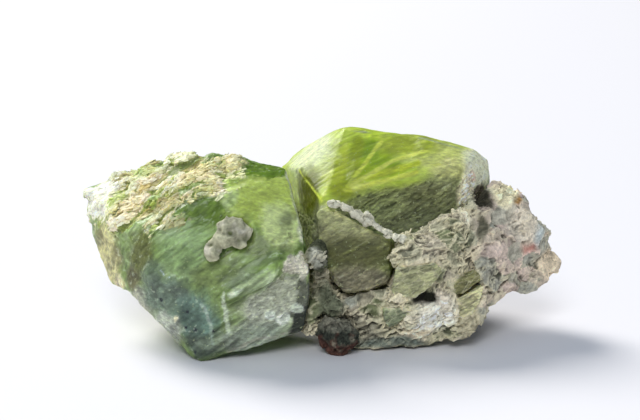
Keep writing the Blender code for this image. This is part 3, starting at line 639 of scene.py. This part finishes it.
def strewn_tree(name, finish, along, seed):
    """Geometry Nodes that strew thin broken plates over a surface, long ways along one direction."""
    tree = bpy.data.node_groups.new(name, "GeometryNodeTree")
    tree.interface.new_socket("Ground", in_out="INPUT", socket_type="NodeSocketGeometry")
    for socket in ("Plates per square metre", "Tilt", "Break"):
        tree.interface.new_socket(socket, in_out="INPUT", socket_type="NodeSocketFloat")
    for socket in ("Smallest", "Largest"):
        tree.interface.new_socket(socket, in_out="INPUT", socket_type="NodeSocketVector")
    tree.interface.new_socket("Plates", in_out="OUTPUT", socket_type="NodeSocketGeometry")
    given = tree.nodes.new("NodeGroupInput").outputs

    def add(kind, values, result, **links):
        """One named output of a new node."""
        return wire(tree, kind, values, **links).outputs[result]

    share = add("GeometryNodeInputNamedAttribute", {"data_type": "FLOAT", "Name": "strewn"}, "Attribute")
    amount = wire(tree, "ShaderNodeMath", {"operation": "MULTIPLY"}, Value=share)
    tree.links.new(given["Plates per square metre"], amount.inputs[1])
    scattering = wire(tree, "GeometryNodeDistributePointsOnFaces", {"Seed": seed}, Mesh=given["Ground"])
    tree.links.new(amount.outputs["Value"], scattering.inputs["Density"])
    points = scattering.outputs
    lying = {"axis": "Y", "pivot_axis": "Z", "Vector": along}
    laid = add("FunctionNodeAlignRotationToVector", lying, "Rotation", Rotation=points["Rotation"])
    back = wire(tree, "ShaderNodeMath", {"operation": "MULTIPLY"}, Value=given["Tilt"])
    back.inputs[1].default_value = -1.0
    leaning = {"data_type": "FLOAT_VECTOR", "Seed": seed + 1}
    lean = add("FunctionNodeRandomValue", leaning, "Value", Min=back.outputs["Value"], Max=given["Tilt"])
    turn = add("FunctionNodeEulerToRotation", {}, "Rotation", Euler=lean)
    placing = {"rotation_space": "LOCAL"}
    leaned = add("FunctionNodeRotateRotation", placing, "Rotation", Rotation=laid, Rotate_By=turn)
    sizing = {"data_type": "FLOAT_VECTOR", "Seed": seed + 2}
    size = add("FunctionNodeRandomValue", sizing, "Value", Min=given["Smallest"], Max=given["Largest"])
    plate = add("GeometryNodeMeshCylinder", {"Vertices": PLATE_CORNERS, "Radius": 0.5, "Depth": 1.0}, "Mesh")
    set_out = add(
        "GeometryNodeInstanceOnPoints", {}, "Instances",
        Points=points["Points"], Instance=plate, Rotation=leaned, Scale=size,
    )
    real = add("GeometryNodeRealizeInstances", {}, "Geometry", Geometry=set_out)
    crumple = add("ShaderNodeTexNoise", CRUMPLES, "Color")
    middle = wire(tree, "ShaderNodeVectorMath", {"operation": "SUBTRACT"}, Vector=crumple)
    middle.inputs[1].default_value = (0.5, 0.5, 0.5)
    moved = shaded(tree, middle.outputs["Vector"], given["Break"])
    broken = add("GeometryNodeSetPosition", {}, "Geometry", Geometry=real, Offset=moved)
    finished = add("GeometryNodeSetMaterial", {"Material": finish}, "Geometry", Geometry=broken)
    out = tree.nodes.new("NodeGroupOutput")
    tree.links.new(finished, out.inputs["Plates"])
    return tree


def strew(name, ground, share, tint, tree, per_square_mm, smallest, largest, tilt, broken):
    """Strews the plates, in this colour, over a piece where share is high, and makes them one plain mesh."""
    painted_tint = ground.data.attributes["tint"].data
    under = np.empty(len(tint) * 3, np.float32)
    painted_tint.foreach_get("vector", under)
    painted_tint.foreach_set("vector", np.clip(tint, 0.0, 1.0).astype(np.float32).ravel())
    ground.data.attributes.new("strewn", "FLOAT", "POINT")
    ground.data.attributes["strewn"].data.foreach_set("value", np.clip(share, 0.0, 1.0).astype(np.float32))
    piece = bpy.data.objects.new(name, ground.data)
    bpy.context.scene.collection.objects.link(piece)
    strewing = piece.modifiers.new("strewing", "NODES")
    strewing.node_group = tree
    sizes = {
        "Plates per square metre": per_square_mm / MM**2,
        "Smallest": [side * MM for side in smallest],
        "Largest": [side * MM for side in largest],
        "Tilt": tilt,
        "Break": broken * MM,
    }
    for socket in tree.interface.items_tree:
        if socket.name in sizes:
            strewing[socket.identifier] = sizes[socket.name]
    plates = bpy.data.meshes.new_from_object(piece.evaluated_get(bpy.context.evaluated_depsgraph_get()))
    piece.modifiers.clear()
    piece.data = plates
    plates.name = name
    ground.data.attributes.remove(ground.data.attributes["strewn"])
    ground.data.attributes["tint"].data.foreach_set("vector", under)
    return piece


patchy = rise(-0.25, 0.15, roughness(swirled, 2.2, 29, 3))
share = flaky * (1.0 - opened) * (0.3 + 0.7 * patchy) * rise(1.0, 2.0, spots[:, 2])
crust_stone = stone_finish("cream crust", mottling=0.25, dullness=0.8)
crust_plates = strewn_tree("crust plates", crust_stone, FLAKES_ALONG, seed=7)
flakes_piece = strew(
    "crust_flakes", left, share, crust_tint, crust_plates,
    PLATES_PER_SQUARE_MM, SMALLEST_PLATE, LARGEST_PLATE, PLATE_TILT, PLATE_BREAK,
)
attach(flakes_piece, "root")


# The right crystal: a clear lime peridot with a sharp chisel top, frosted at its right end and worn granular
# below, with the duller olive block in front of it. The two are grown into one piece and sit in the matrix.
RIGHT_GRAIN = 0.17
RIGHT_LIME = (0.64, 0.80, 0.06)
RIGHT_OLIVE = (0.26, 0.29, 0.10)
RIGHT_VEIL = (0.78, 0.86, 0.18)
RIGHT_SCRATCH = (0.56, 0.58, 0.40)
RIGHT_ABSORBED = (0.84, 0.94, 0.10)
RIGHT_DENSITY = 260.0
RIGHT_CLEAR = 0.35
RIGHT_GLOSS = 0.42
VEILS_ALONG = (0.86, 0.20, 0.46)
SCRATCHES_ALONG = (0.86, 0.10, 0.50)
RIGHT_ZONES = [
    ((7.5, 0.6, 22.8), (5.0, 3.8, 3.0), (0.38, 0.53, 0.0), 0.0),
    ((1.6, 0.6, 22.2), (2.6, 3.6, 3.4), (0.48, 0.56, 0.02), 0.1),
    ((6.2, 1.6, 24.0), (1.7, 2.6, 1.5), (0.27, 0.42, 0.0), 0.0),
    ((9.6, 0.4, 22.6), (2.6, 2.6, 0.8), (0.30, 0.45, 0.0), 0.0),
    ((3.0, -2.0, 19.6), (2.0, 2.0, 1.4), (0.34, 0.40, 0.0), 0.1),
    ((15.2, 1.3, 23.4), (5.0, 3.4, 2.0), (0.62, 0.67, 0.18), 0.3),
    ((11.2, 2.4, 24.6), (4.0, 2.8, 1.5), (0.42, 0.50, 0.03), 0.1),
    ((17.0, -0.4, 21.8), (3.0, 2.4, 1.4), (0.58, 0.58, 0.21), 0.45),
    ((-1.4, 6.0, 22.6), (4.0, 5.0, 3.4), (0.76, 0.82, 0.46), 0.4),
    ((9.0, -2.2, 17.4), (7.4, 3.0, 2.4), (0.27, 0.30, 0.12), 0.7),
    ((15.0, -2.0, 18.0), (4.6, 2.6, 2.8), (0.20, 0.21, 0.09), 0.7),
    ((11.5, -2.6, 14.8), (5.0, 3.0, 2.4), (0.17, 0.18, 0.08), 0.75),
    ((20.4, 1.8, 21.4), (2.4, 4.4, 3.4), (1.00, 0.98, 0.66), 0.45),
    ((19.3, 0.9, 20.8), (0.6, 0.9, 0.8), (0.96, 0.70, 0.50), 0.7),
    ((18.6, -0.6, 18.6), (1.2, 2.0, 2.2), (1.00, 0.88, 0.60), 0.8),
    # Painted shade: a dark spot in the crevice under the frosted end
    ((20.6, 1.2, 18.2), (1.3, 1.8, 1.6), (0.10, 0.08, 0.05), 0.9),
    ((-1.8, 0.8, 18.8), (1.8, 4.6, 2.8), (0.18, 0.20, 0.01), 0.2),
    ((-0.6, -4.2, 14.0), (1.6, 3.2, 4.0), (0.24, 0.25, 0.13), 0.5),
    ((3.4, -7.0, 15.0), (4.6, 2.6, 3.0), (0.29, 0.28, 0.13), 0.55),
    ((3.6, -6.6, 16.8), (4.8, 2.6, 1.6), (0.42, 0.42, 0.20), 0.55),
    ((4.4, -7.8, 12.6), (4.8, 2.2, 2.0), (0.12, 0.12, 0.035), 0.5),
    ((4.6, -8.2, 9.2), (4.6, 2.2, 1.8), (0.22, 0.20, 0.12), 0.8),
]
RIGHT_LINES = [
    # Painted highlight: a thin bright line along the sharp edge beside the olive facet
    ([(-3.1, 3.3, 21.0), (-1.4, -0.4, 19.6), (-0.1, -3.3, 18.4)], 0.16, (0.78, 0.86, 0.10), 0.4),
    ([(4.6, 2.8, 24.8), (3.9, 0.5, 22.4), (3.4, -1.9, 20.2)], 0.9, (0.32, 0.40, 0.0), 0.1),
    ([(4.2, -1.6, 20.6), (8.0, -1.0, 21.6), (12.2, -0.2, 22.6)], 0.5, (0.52, 0.60, 0.02), 0.2),
    ([(2.9, -2.5, 19.6), (7.7, -1.8, 20.6), (12.0, -1.2, 21.6)], 0.4, (0.60, 0.65, 0.06), 0.2),
    ([(3.2, -2.0, 20.0), (5.6, 0.4, 22.6), (8.0, 3.2, 25.4)], 0.3, (0.62, 0.70, 0.06), 0.2),
    ([(3.6, -2.0, 20.0), (9.0, 0.2, 22.9), (14.0, 1.6, 24.2)], 0.3, (0.64, 0.70, 0.10), 0.2),
    ([(4.0, -2.2, 19.8), (10.0, -0.8, 21.2), (15.0, -0.2, 22.4)], 0.3, (0.70, 0.74, 0.16), 0.25),
    ([(1.3, 0.0, 21.4), (0.3, -2.8, 18.9)], 0.3, (0.80, 0.88, 0.22), 0.3),
    ([(19.0, 0.2, 20.4), (18.6, -0.8, 18.6), (18.0, -2.2, 16.8)], 0.6, (1.00, 0.88, 0.62), 0.7),
    ([(3.3, 4.0, 26.2), (11.9, 4.0, 25.4), (20.4, 3.0, 23.4)], 0.25, (0.44, 0.50, 0.22), 0.4),
]

right = fine_skin("right_crystal_skin", "right_crystal", RIGHT_GRAIN)
spots, facing = places_of(right)
warped = warp(spots, amount=0.6, size=2.6, seed=211, rounds=4)

# A sloping, uneven line parts the clear lime above from the granular olive below
over_line = warped[:, 2] - 18.0 - 0.30 * (warped[:, 0] - 3.0) + 0.8 * roughness(spots, 3.0, 215)
granular = rise(1.3, -1.1, over_line)
crust = 0.6 * granular
tint = blend(all_over(spots, RIGHT_LIME), RIGHT_OLIVE, granular)
tint *= (1.0 + 0.12 * roughness(warped, 4.0, 221))[:, None]
tint, crust = painted(warped, tint, crust, RIGHT_ZONES, ragged=0.3, soft=0.35, seed=231)
tint, crust = ruled(spots, tint, crust, RIGHT_LINES, seed=261)
worn = rise(0.35, 0.65, crust)
drawn = drawn_out(spots, VEILS_ALONG, 0.5)
_, _, lean = flakes(drawn, size=1.4, seed=25)
_, small_flake, small_lean = flakes(drawn, size=0.42, seed=35)
veils = streaks(spots, VEILS_ALONG, width=0.5, length=5.0, seed=241)
scratches = streaks(spots, SCRATCHES_ALONG, width=0.28, length=2.4, seed=245)
broken = 0.10 * scratches + 0.35 * small_lean + 0.12 * lean + 0.08 * (small_flake - 0.5)
height = worn * broken + (1.0 - worn) * 0.05 * veils
put_places(right, spots + facing * height[:, None])
fine = hollows(right, rounds=2)
tint *= (1.0 + worn * (0.8 * scratches + 0.6 * (small_flake - 0.5)) + 0.5 * (1.0 - worn) * veils)[:, None]
# Painted shade in the fine hollows of the worn places, a little lighter on their ridges
tint *= (1.0 - 4.0 * worn * np.clip(fine, -0.05, 0.06))[:, None]
tint = blend(tint, RIGHT_VEIL, 0.35 * (1.0 - worn) * rise(0.3, 0.6, veils))
tint = blend(tint, RIGHT_SCRATCH, 0.5 * worn * rise(0.40, 0.62, scratches))
paint(right, tint, crust)
right_finish = crystal_finish("right peridot", RIGHT_ABSORBED, RIGHT_DENSITY, RIGHT_CLEAR, RIGHT_GLOSS)
right.data.materials.append(right_finish)
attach(right, "root")
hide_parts("right_crystal")


# The small crystals: four flat panes of duller olive peridot, set in the front of the matrix with pale broken
# rims. Each is a broken crystal whose edges have altered to the same cream stone that holds it.
PANE_GRAIN = 0.12
PANE_ABSORBED = (0.7, 0.8, 0.3)
PANE_DENSITY = 200.0
PANE_CLEAR = 0.3
PANE_GLOSS = 0.4
PANE_TINTS = {
    "small_crystal_1": (0.38, 0.38, 0.20),
    "small_crystal_2": (0.27, 0.30, 0.17),
    "small_crystal_3": (0.24, 0.23, 0.09),
    "small_crystal_4": (0.66, 0.62, 0.34),
}
PANE_RIM = (0.78, 0.72, 0.50)


def gap_to(places, *nodes):
    """Millimetres from each place to the nearest surface of these solids, up to a reach of two."""
    reach = 2.0
    nearest = np.full(len(places), FAR)
    for node in nodes:
        shape = bmesh.new()
        shape.from_mesh(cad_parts[node].data)
        surface = BVHTree.FromBMesh(shape)
        shape.free()
        found = [surface.find_nearest(place, reach * MM)[3] for place in places * MM]
        nearest = np.minimum(nearest, [FAR if gap is None else gap / MM for gap in found])
    return nearest


for index, (node, colour) in enumerate(PANE_TINTS.items()):
    pane = fine_skin(node + "_skin", node, PANE_GRAIN)
    spots, facing = places_of(pane)
    edge, flake, lean = flakes(drawn_out(spots, VEILS_ALONG, 0.5), 0.9, 301 + index)
    scratches = streaks(spots, VEILS_ALONG, 0.22, 1.8, 311 + index)
    rim = rise(0.9, 0.45, gap_to(spots, "matrix") + 0.5 * roughness(spots, 0.9, 321 + index, 3))
    height = 0.25 * lean + 0.06 * scratches + 0.12 * rim + 0.1 * rim * roughness(spots, 0.5, 331 + index)
    put_places(pane, spots + facing * height[:, None])
    fine = hollows(pane, rounds=3)
    tint = all_over(spots, colour)
    # Besides the scratches and flakes, painted shade in the fine hollows and a little painted light on the
    # ridges
    tint *= (1.0 + 0.9 * scratches + 0.5 * (flake - 0.5) - 6.0 * np.clip(fine, -0.03, 0.05))[:, None]
    tint = blend(tint, PANE_RIM, 0.8 * np.maximum(rim, 0.6 * rise(0.06, 0.0, edge)))
    paint(pane, tint, 0.5 + 0.45 * rim)
    pane_finish = crystal_finish(node + " peridot", PANE_ABSORBED, PANE_DENSITY, PANE_CLEAR, PANE_GLOSS)
    pane.data.materials.append(pane_finish)
    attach(pane, "root")
    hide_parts(node)


# The matrix: altered olivine with serpentine fibres and clay, a dry pale stone that breaks in curved fibrous
# ledges. It holds all the crystals, and fills round them with thin pale rims.
MATRIX_GRAIN = 0.205
MATRIX_COLOURS = [
    (0.38, 0.36, 0.24),
    (0.26, 0.27, 0.16),
    (0.48, 0.43, 0.30),
    (0.43, 0.38, 0.28),
    (0.20, 0.22, 0.11),
]
TAIL_COLOURS = [(0.57, 0.48, 0.37), (0.44, 0.41, 0.32), (0.60, 0.48, 0.40), (0.38, 0.37, 0.30)]
RIM_COLOUR = (0.80, 0.72, 0.49)
# Painted shade: the near-black laid into the deep crevices
PAINTED_CREVICE_SHADE = (0.05, 0.05, 0.03)
FIBRES_ALONG = (0.88, 0.0, 0.46)
TAIL_FIBRES_ALONG = (0.62, 0.0, 0.78)
# Spots of colour: middle, reach, colour, and how much pale rim and painted crevice shade still shows on them
MATRIX_ZONES = [
    ((13.6, -9.2, 4.6), (3.2, 2.4, 2.4), (1.00, 0.93, 0.76), 0.0),
    ((11.8, -8.8, 2.4), (2.0, 2.0, 1.6), (1.00, 0.86, 0.62), 0.0),
    ((14.8, -9.8, 7.2), (1.3, 1.6, 1.3), (0.88, 0.78, 0.62), 0.0),
    ((18.4, -7.8, 3.6), (1.8, 2.0, 2.0), (0.54, 0.48, 0.32), 0.0),
    # Painted shade: a near-black spot where a hole in the front lies in shade
    ((12.7, -9.4, 7.2), (1.4, 1.8, 0.7), (0.008, 0.008, 0.004), 0.0),
    ((4.2, -8.6, 7.4), (2.6, 1.4, 0.6), (0.03, 0.035, 0.025), 0.3),
    ((3.6, -8.8, 6.6), (1.4, 1.4, 0.7), (0.42, 0.42, 0.33), 0.3),
    ((0.8, -9.2, 7.0), (1.8, 2.6, 3.4), (0.15, 0.16, 0.10), 0.0),
    # Painted shade: the low strip near the table painted dark where it lies in shadow
    ((8.0, -8.6, 1.2), (5.0, 2.4, 0.8), (0.18, 0.21, 0.17), 0.2),
    ((5.0, -8.4, 3.2), (2.4, 2.2, 1.6), (0.17, 0.16, 0.12), 0.4),
    ((26.4, -2.0, 12.4), (1.3, 1.6, 1.3), (0.46, 0.22, 0.17), 0.2),
    ((25.3, 0.4, 17.6), (0.8, 1.0, 0.7), (0.42, 0.22, 0.06), 0.5),
    ((23.6, 0.4, 18.6), (2.0, 2.4, 1.7), (0.96, 0.86, 0.56), 0.6),
    ((27.8, -1.3, 13.6), (1.0, 1.2, 1.4), (0.54, 0.58, 0.55), 0.2),
    ((25.6, -1.8, 14.6), (2.2, 2.4, 2.6), (0.70, 0.62, 0.49), 0.2),
    ((29.6, 0.0, 9.2), (2.0, 2.4, 2.0), (0.78, 0.64, 0.45), 0.3),
    ((20.4, -3.4, 14.6), (0.6, 1.6, 2.6), (0.13, 0.12, 0.08), 0.3),
    # Painted shade: a near-black spot in the crevice under the right crystal's frosted end
    ((20.4, -0.4, 18.0), (1.5, 2.0, 1.6), (0.03, 0.026, 0.015), 0.1),
    ((18.0, -3.6, 16.4), (1.2, 1.6, 1.2), (0.92, 0.82, 0.62), 0.3),
    # Painted shade: near-black in the seam between the two crystals
    ((-0.5, -10.5, 15.0), (2.4, 4.0, 5.4), (0.06, 0.065, 0.035), 0.0),
    ((-0.8, -12.6, 13.6), (0.9, 1.6, 1.1), (0.32, 0.32, 0.26), 0.1),
]

matrix = fine_skin("matrix_skin", "matrix", MATRIX_GRAIN)
spots, facing = places_of(matrix)
warped = warp(spots, amount=1.0, size=3.0, seed=411, rounds=3)
edge, flake, lean = flakes(warped * np.array([0.8, 1.0, 1.2]), size=2.2, seed=65)
_, small_flake, small_lean = flakes(warped * np.array([0.7, 1.0, 1.1]), size=0.7, seed=45)
tail_side = rise(17.5, 20.5, spots[:, 0])


def fibre_bands(width, tail_width, length, seed):
    """Bands along the fibres, which stand steeper at the tail and are a little thinner there."""
    middle_bands = streaks(warped, FIBRES_ALONG, width, length, seed, 2)
    tail_bands = streaks(warped, TAIL_FIBRES_ALONG, tail_width, length, seed + 2, 2)
    return blend(middle_bands, tail_bands, tail_side)


wide_bands = fibre_bands(width=1.1, tail_width=0.9, length=5.0, seed=421)
thin_bands = fibre_bands(width=0.5, tail_width=0.45, length=3.0, seed=425)
ribbons = np.maximum(rise(0.13, 0.03, np.abs(wide_bands)), 0.7 * rise(0.09, 0.02, np.abs(thin_bands)))
ribbons *= rise(-0.35, 0.15, roughness(spots, 3.5, 429, 2))
heap = 0.5 + 0.5 * roughness(drawn_out(warped, FIBRES_ALONG, 0.5), 2.4, 431, 3)
tread = ledges(heap, steps=6.0)
round_panes = rise(0.9, 0.4, gap_to(spots, *PANE_TINTS))
front = rise(-3.0, -5.0, spots[:, 1])
round_block = front * rise(1.0, 0.4, gap_to(spots, "right_crystal", "pale_vein"))
flake_rims = rise(0.12, 0.03, edge) * (1.0 - 0.85 * tail_side)
crystal_rims = np.maximum(round_panes, 0.8 * round_block) * rise(-0.5, 0.1, thin_bands + 0.4)
rim = np.maximum(flake_rims, crystal_rims)

# The relief lies low on the table and at the very back, so that it stays within the solid's reach there
inside_back = rise(15.4, 14.2, spots[:, 1])
height = 0.38 * ribbons * (1.0 - 0.5 * tail_side) + 0.12 * rim + 0.3 * lean
height += (0.7 - 0.45 * tail_side) * (tread - 0.5)
height += 0.2 * small_lean
height += 0.15 * np.maximum(round_panes, round_block)
height *= rise(0.1, 0.8, spots[:, 2]) * (0.3 + 0.7 * inside_back)
put_places(matrix, spots + facing * height[:, None])
deep = hollows(matrix, rounds=8)
fine = hollows(matrix, rounds=2)
tint = np.array(MATRIX_COLOURS)[np.minimum((flake * 5).astype(int), 4)]
tail_tint = np.array(TAIL_COLOURS)[np.minimum((flake * 4).astype(int), 3)]
tint = blend(tint, tail_tint, tail_side)
tint, rim_and_shade_share = painted(warped, tint, np.ones(len(spots)), MATRIX_ZONES, ragged=0.3, soft=0.35, seed=441)
tint *= (1.0 + 0.5 * (small_flake - 0.5) + 0.3 * thin_bands)[:, None]
tint = blend(tint, RIM_COLOUR, 0.85 * rim_and_shade_share * np.maximum(0.7 * rim, ribbons * (1.0 - 0.4 * tail_side)))
# Painted shade in the fine hollows and painted light on the ridges, weaker at the tail, then near-black
# painted shade in the deep crevices
tint *= (1.0 - (4.0 - 1.5 * tail_side) * np.clip(fine, -0.06, 0.09))[:, None]
tint = blend(tint, PAINTED_CREVICE_SHADE, 0.85 * (0.3 + 0.7 * rim_and_shade_share) * rise(0.03, 0.15, deep))
paint(matrix, tint, np.ones(len(spots)))
matrix.data.materials.append(stone_finish("matrix stone", mottling=0.35, dullness=0.85))
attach(matrix, "root")
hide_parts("matrix")


# The matrix splinters: thin chips and fibre ends of the same dry pale stone. They stand out of its broken
# ledges, where the stone has split along its fibres, and lie thickest on its pale ribbons.
SPLINTERS_PER_SQUARE_MM = 2.2
SMALLEST_SPLINTER = (0.2, 0.45, 0.06)
LARGEST_SPLINTER = (0.55, 1.3, 0.16)
SPLINTER_TILT = 0.22
SPLINTER_BREAK = 0.4

share = (1.0 - 0.5 * tail_side) * (0.05 + 0.95 * np.maximum(ribbons, 0.4 * rim))
share *= rise(0.9, 2.0, spots[:, 2])
# Few splinters where the colour is dark, the painted crevice shade included
share *= rise(0.12, 0.3, tint[:, 1])
share *= inside_back
# The splinters take the matrix colour under them, painted shade included, paled on the ribbons
splinter_tint = blend(tint, RIM_COLOUR, 0.4 * ribbons)
splinter_stone = stone_finish("pale splinters", mottling=0.3, dullness=0.85)
splinters = strewn_tree("matrix splinters", splinter_stone, FIBRES_ALONG, seed=17)
splinter_piece = strew(
    "matrix_splinters", matrix, share, splinter_tint, splinters,
    SPLINTERS_PER_SQUARE_MM, SMALLEST_SPLINTER, LARGEST_SPLINTER, SPLINTER_TILT, SPLINTER_BREAK,
)
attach(splinter_piece, "root")


# The iron knob: a dark hard nodule under the middle, dusted with pale stone above and stained rust red below.
# It has grown into the underside of the matrix, and the specimen rests on it in front.
KNOB_GRAIN = 0.12
KNOB_DARK = (0.045, 0.050, 0.036)
KNOB_RUST = (0.09, 0.040, 0.028)
KNOB_DUST = (0.24, 0.21, 0.15)
KNOB_TOP = (0.20, 0.19, 0.14)

knob = fine_skin("iron_knob_skin", "iron_knob", KNOB_GRAIN)
spots, facing = places_of(knob)
_, _, lean = flakes(spots, size=0.8, seed=505)
bumps = roughness(spots, size=1.6, seed=531)
height = 0.7 * lean + 0.55 * bumps
put_places(knob, spots + facing * (height * rise(0.1, 0.7, spots[:, 2]))[:, None])
deep = hollows(knob, rounds=6)
rusty = rise(-0.2, 0.3, roughness(spots, 1.2, 511) + 0.3 * (2.0 - spots[:, 2]))
tint = blend(all_over(spots, KNOB_DARK), KNOB_RUST, rusty)
tint = blend(tint, KNOB_DUST, 0.8 * rise(0.1, 0.5, roughness(spots, 1.0, 525) + 0.5 * bumps))
tint = blend(tint, KNOB_TOP, 0.8 * rise(3.0, 4.2, spots[:, 2] + 0.5 * bumps))
# Painted shade in the hollows, among lighter and darker grain
tint *= (1.0 + 0.9 * roughness(spots, 0.5, 521) - 5.0 * np.clip(deep, -0.05, 0.1))[:, None]
paint(knob, tint, np.ones(len(spots)))
knob.data.materials.append(stone_finish("iron stained stone", mottling=0.5, dullness=0.75))
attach(knob, "root")
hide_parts("iron_knob")


# The grey nodule: a lump of grey mineral with a fine pitted crust, with painted shade in its creases.
# It is seated in a hollow of the left crystal's front.
NODULE_GRAIN = 0.12
NODULE_GREY = (0.36, 0.35, 0.23)
NODULE_PALE = (0.56, 0.52, 0.41)
NODULE_CREASE_SHADE = (0.14, 0.16, 0.06)

nodule = fine_skin("grey_nodule_skin", "grey_nodule", NODULE_GRAIN)
spots, facing = places_of(nodule)
lumps = roughness(spots, size=1.6, seed=541, rounds=3)
put_places(nodule, spots + facing * (0.4 * lumps + 0.05)[:, None])
deep = hollows(nodule, rounds=10)
# Painted light and shade: the raised lumps lighter, the low ones and the hollows darker
tint = all_over(spots, NODULE_GREY) * (1.0 + 0.6 * lumps - 3.0 * np.clip(deep, -0.1, 0.15))[:, None]
tint = blend(tint, NODULE_PALE, rise(0.0, 0.4, roughness(spots, 2.4, 545, 3)))
# Painted shade: a darker colour laid into the creases
tint = blend(tint, NODULE_CREASE_SHADE, 0.8 * rise(0.02, 0.1, deep))
paint(nodule, tint, np.ones(len(spots)))
nodule.data.materials.append(stone_finish("grey crusted stone", mottling=0.35, dullness=0.7))
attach(nodule, "root")
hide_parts("grey_nodule")


# The pale vein: a thin, knobbly white seam of late mineral. It filled the crack along the ledge between the
# lower block and the upper crystal, and runs out on to the matrix.
VEIN_GRAIN = 0.1
VEIN_COLOUR = (0.64, 0.61, 0.47)

vein = fine_skin("pale_vein_skin", "pale_vein", VEIN_GRAIN)
spots, facing = places_of(vein)
_, flake, lean = flakes(spots, size=0.9, seed=65)
height = 0.15 + 0.9 * lean + 0.6 * roughness(spots, 1.7, 551) * rise(9.9, 8.6, spots[:, 0])
put_places(vein, spots + facing * height[:, None])
fine = hollows(vein, rounds=3)
tint = all_over(spots, VEIN_COLOUR) * (1.0 + 0.2 * (flake - 0.5))[:, None]
# Painted shade in the fine hollows, a little lighter on the ridges
tint *= (1.0 - 4.0 * np.clip(fine, -0.03, 0.08))[:, None]
paint(vein, tint, np.ones(len(spots)))
vein.data.materials.append(stone_finish("white vein mineral", mottling=0.25, dullness=0.8))
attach(vein, "root")
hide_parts("pale_vein")
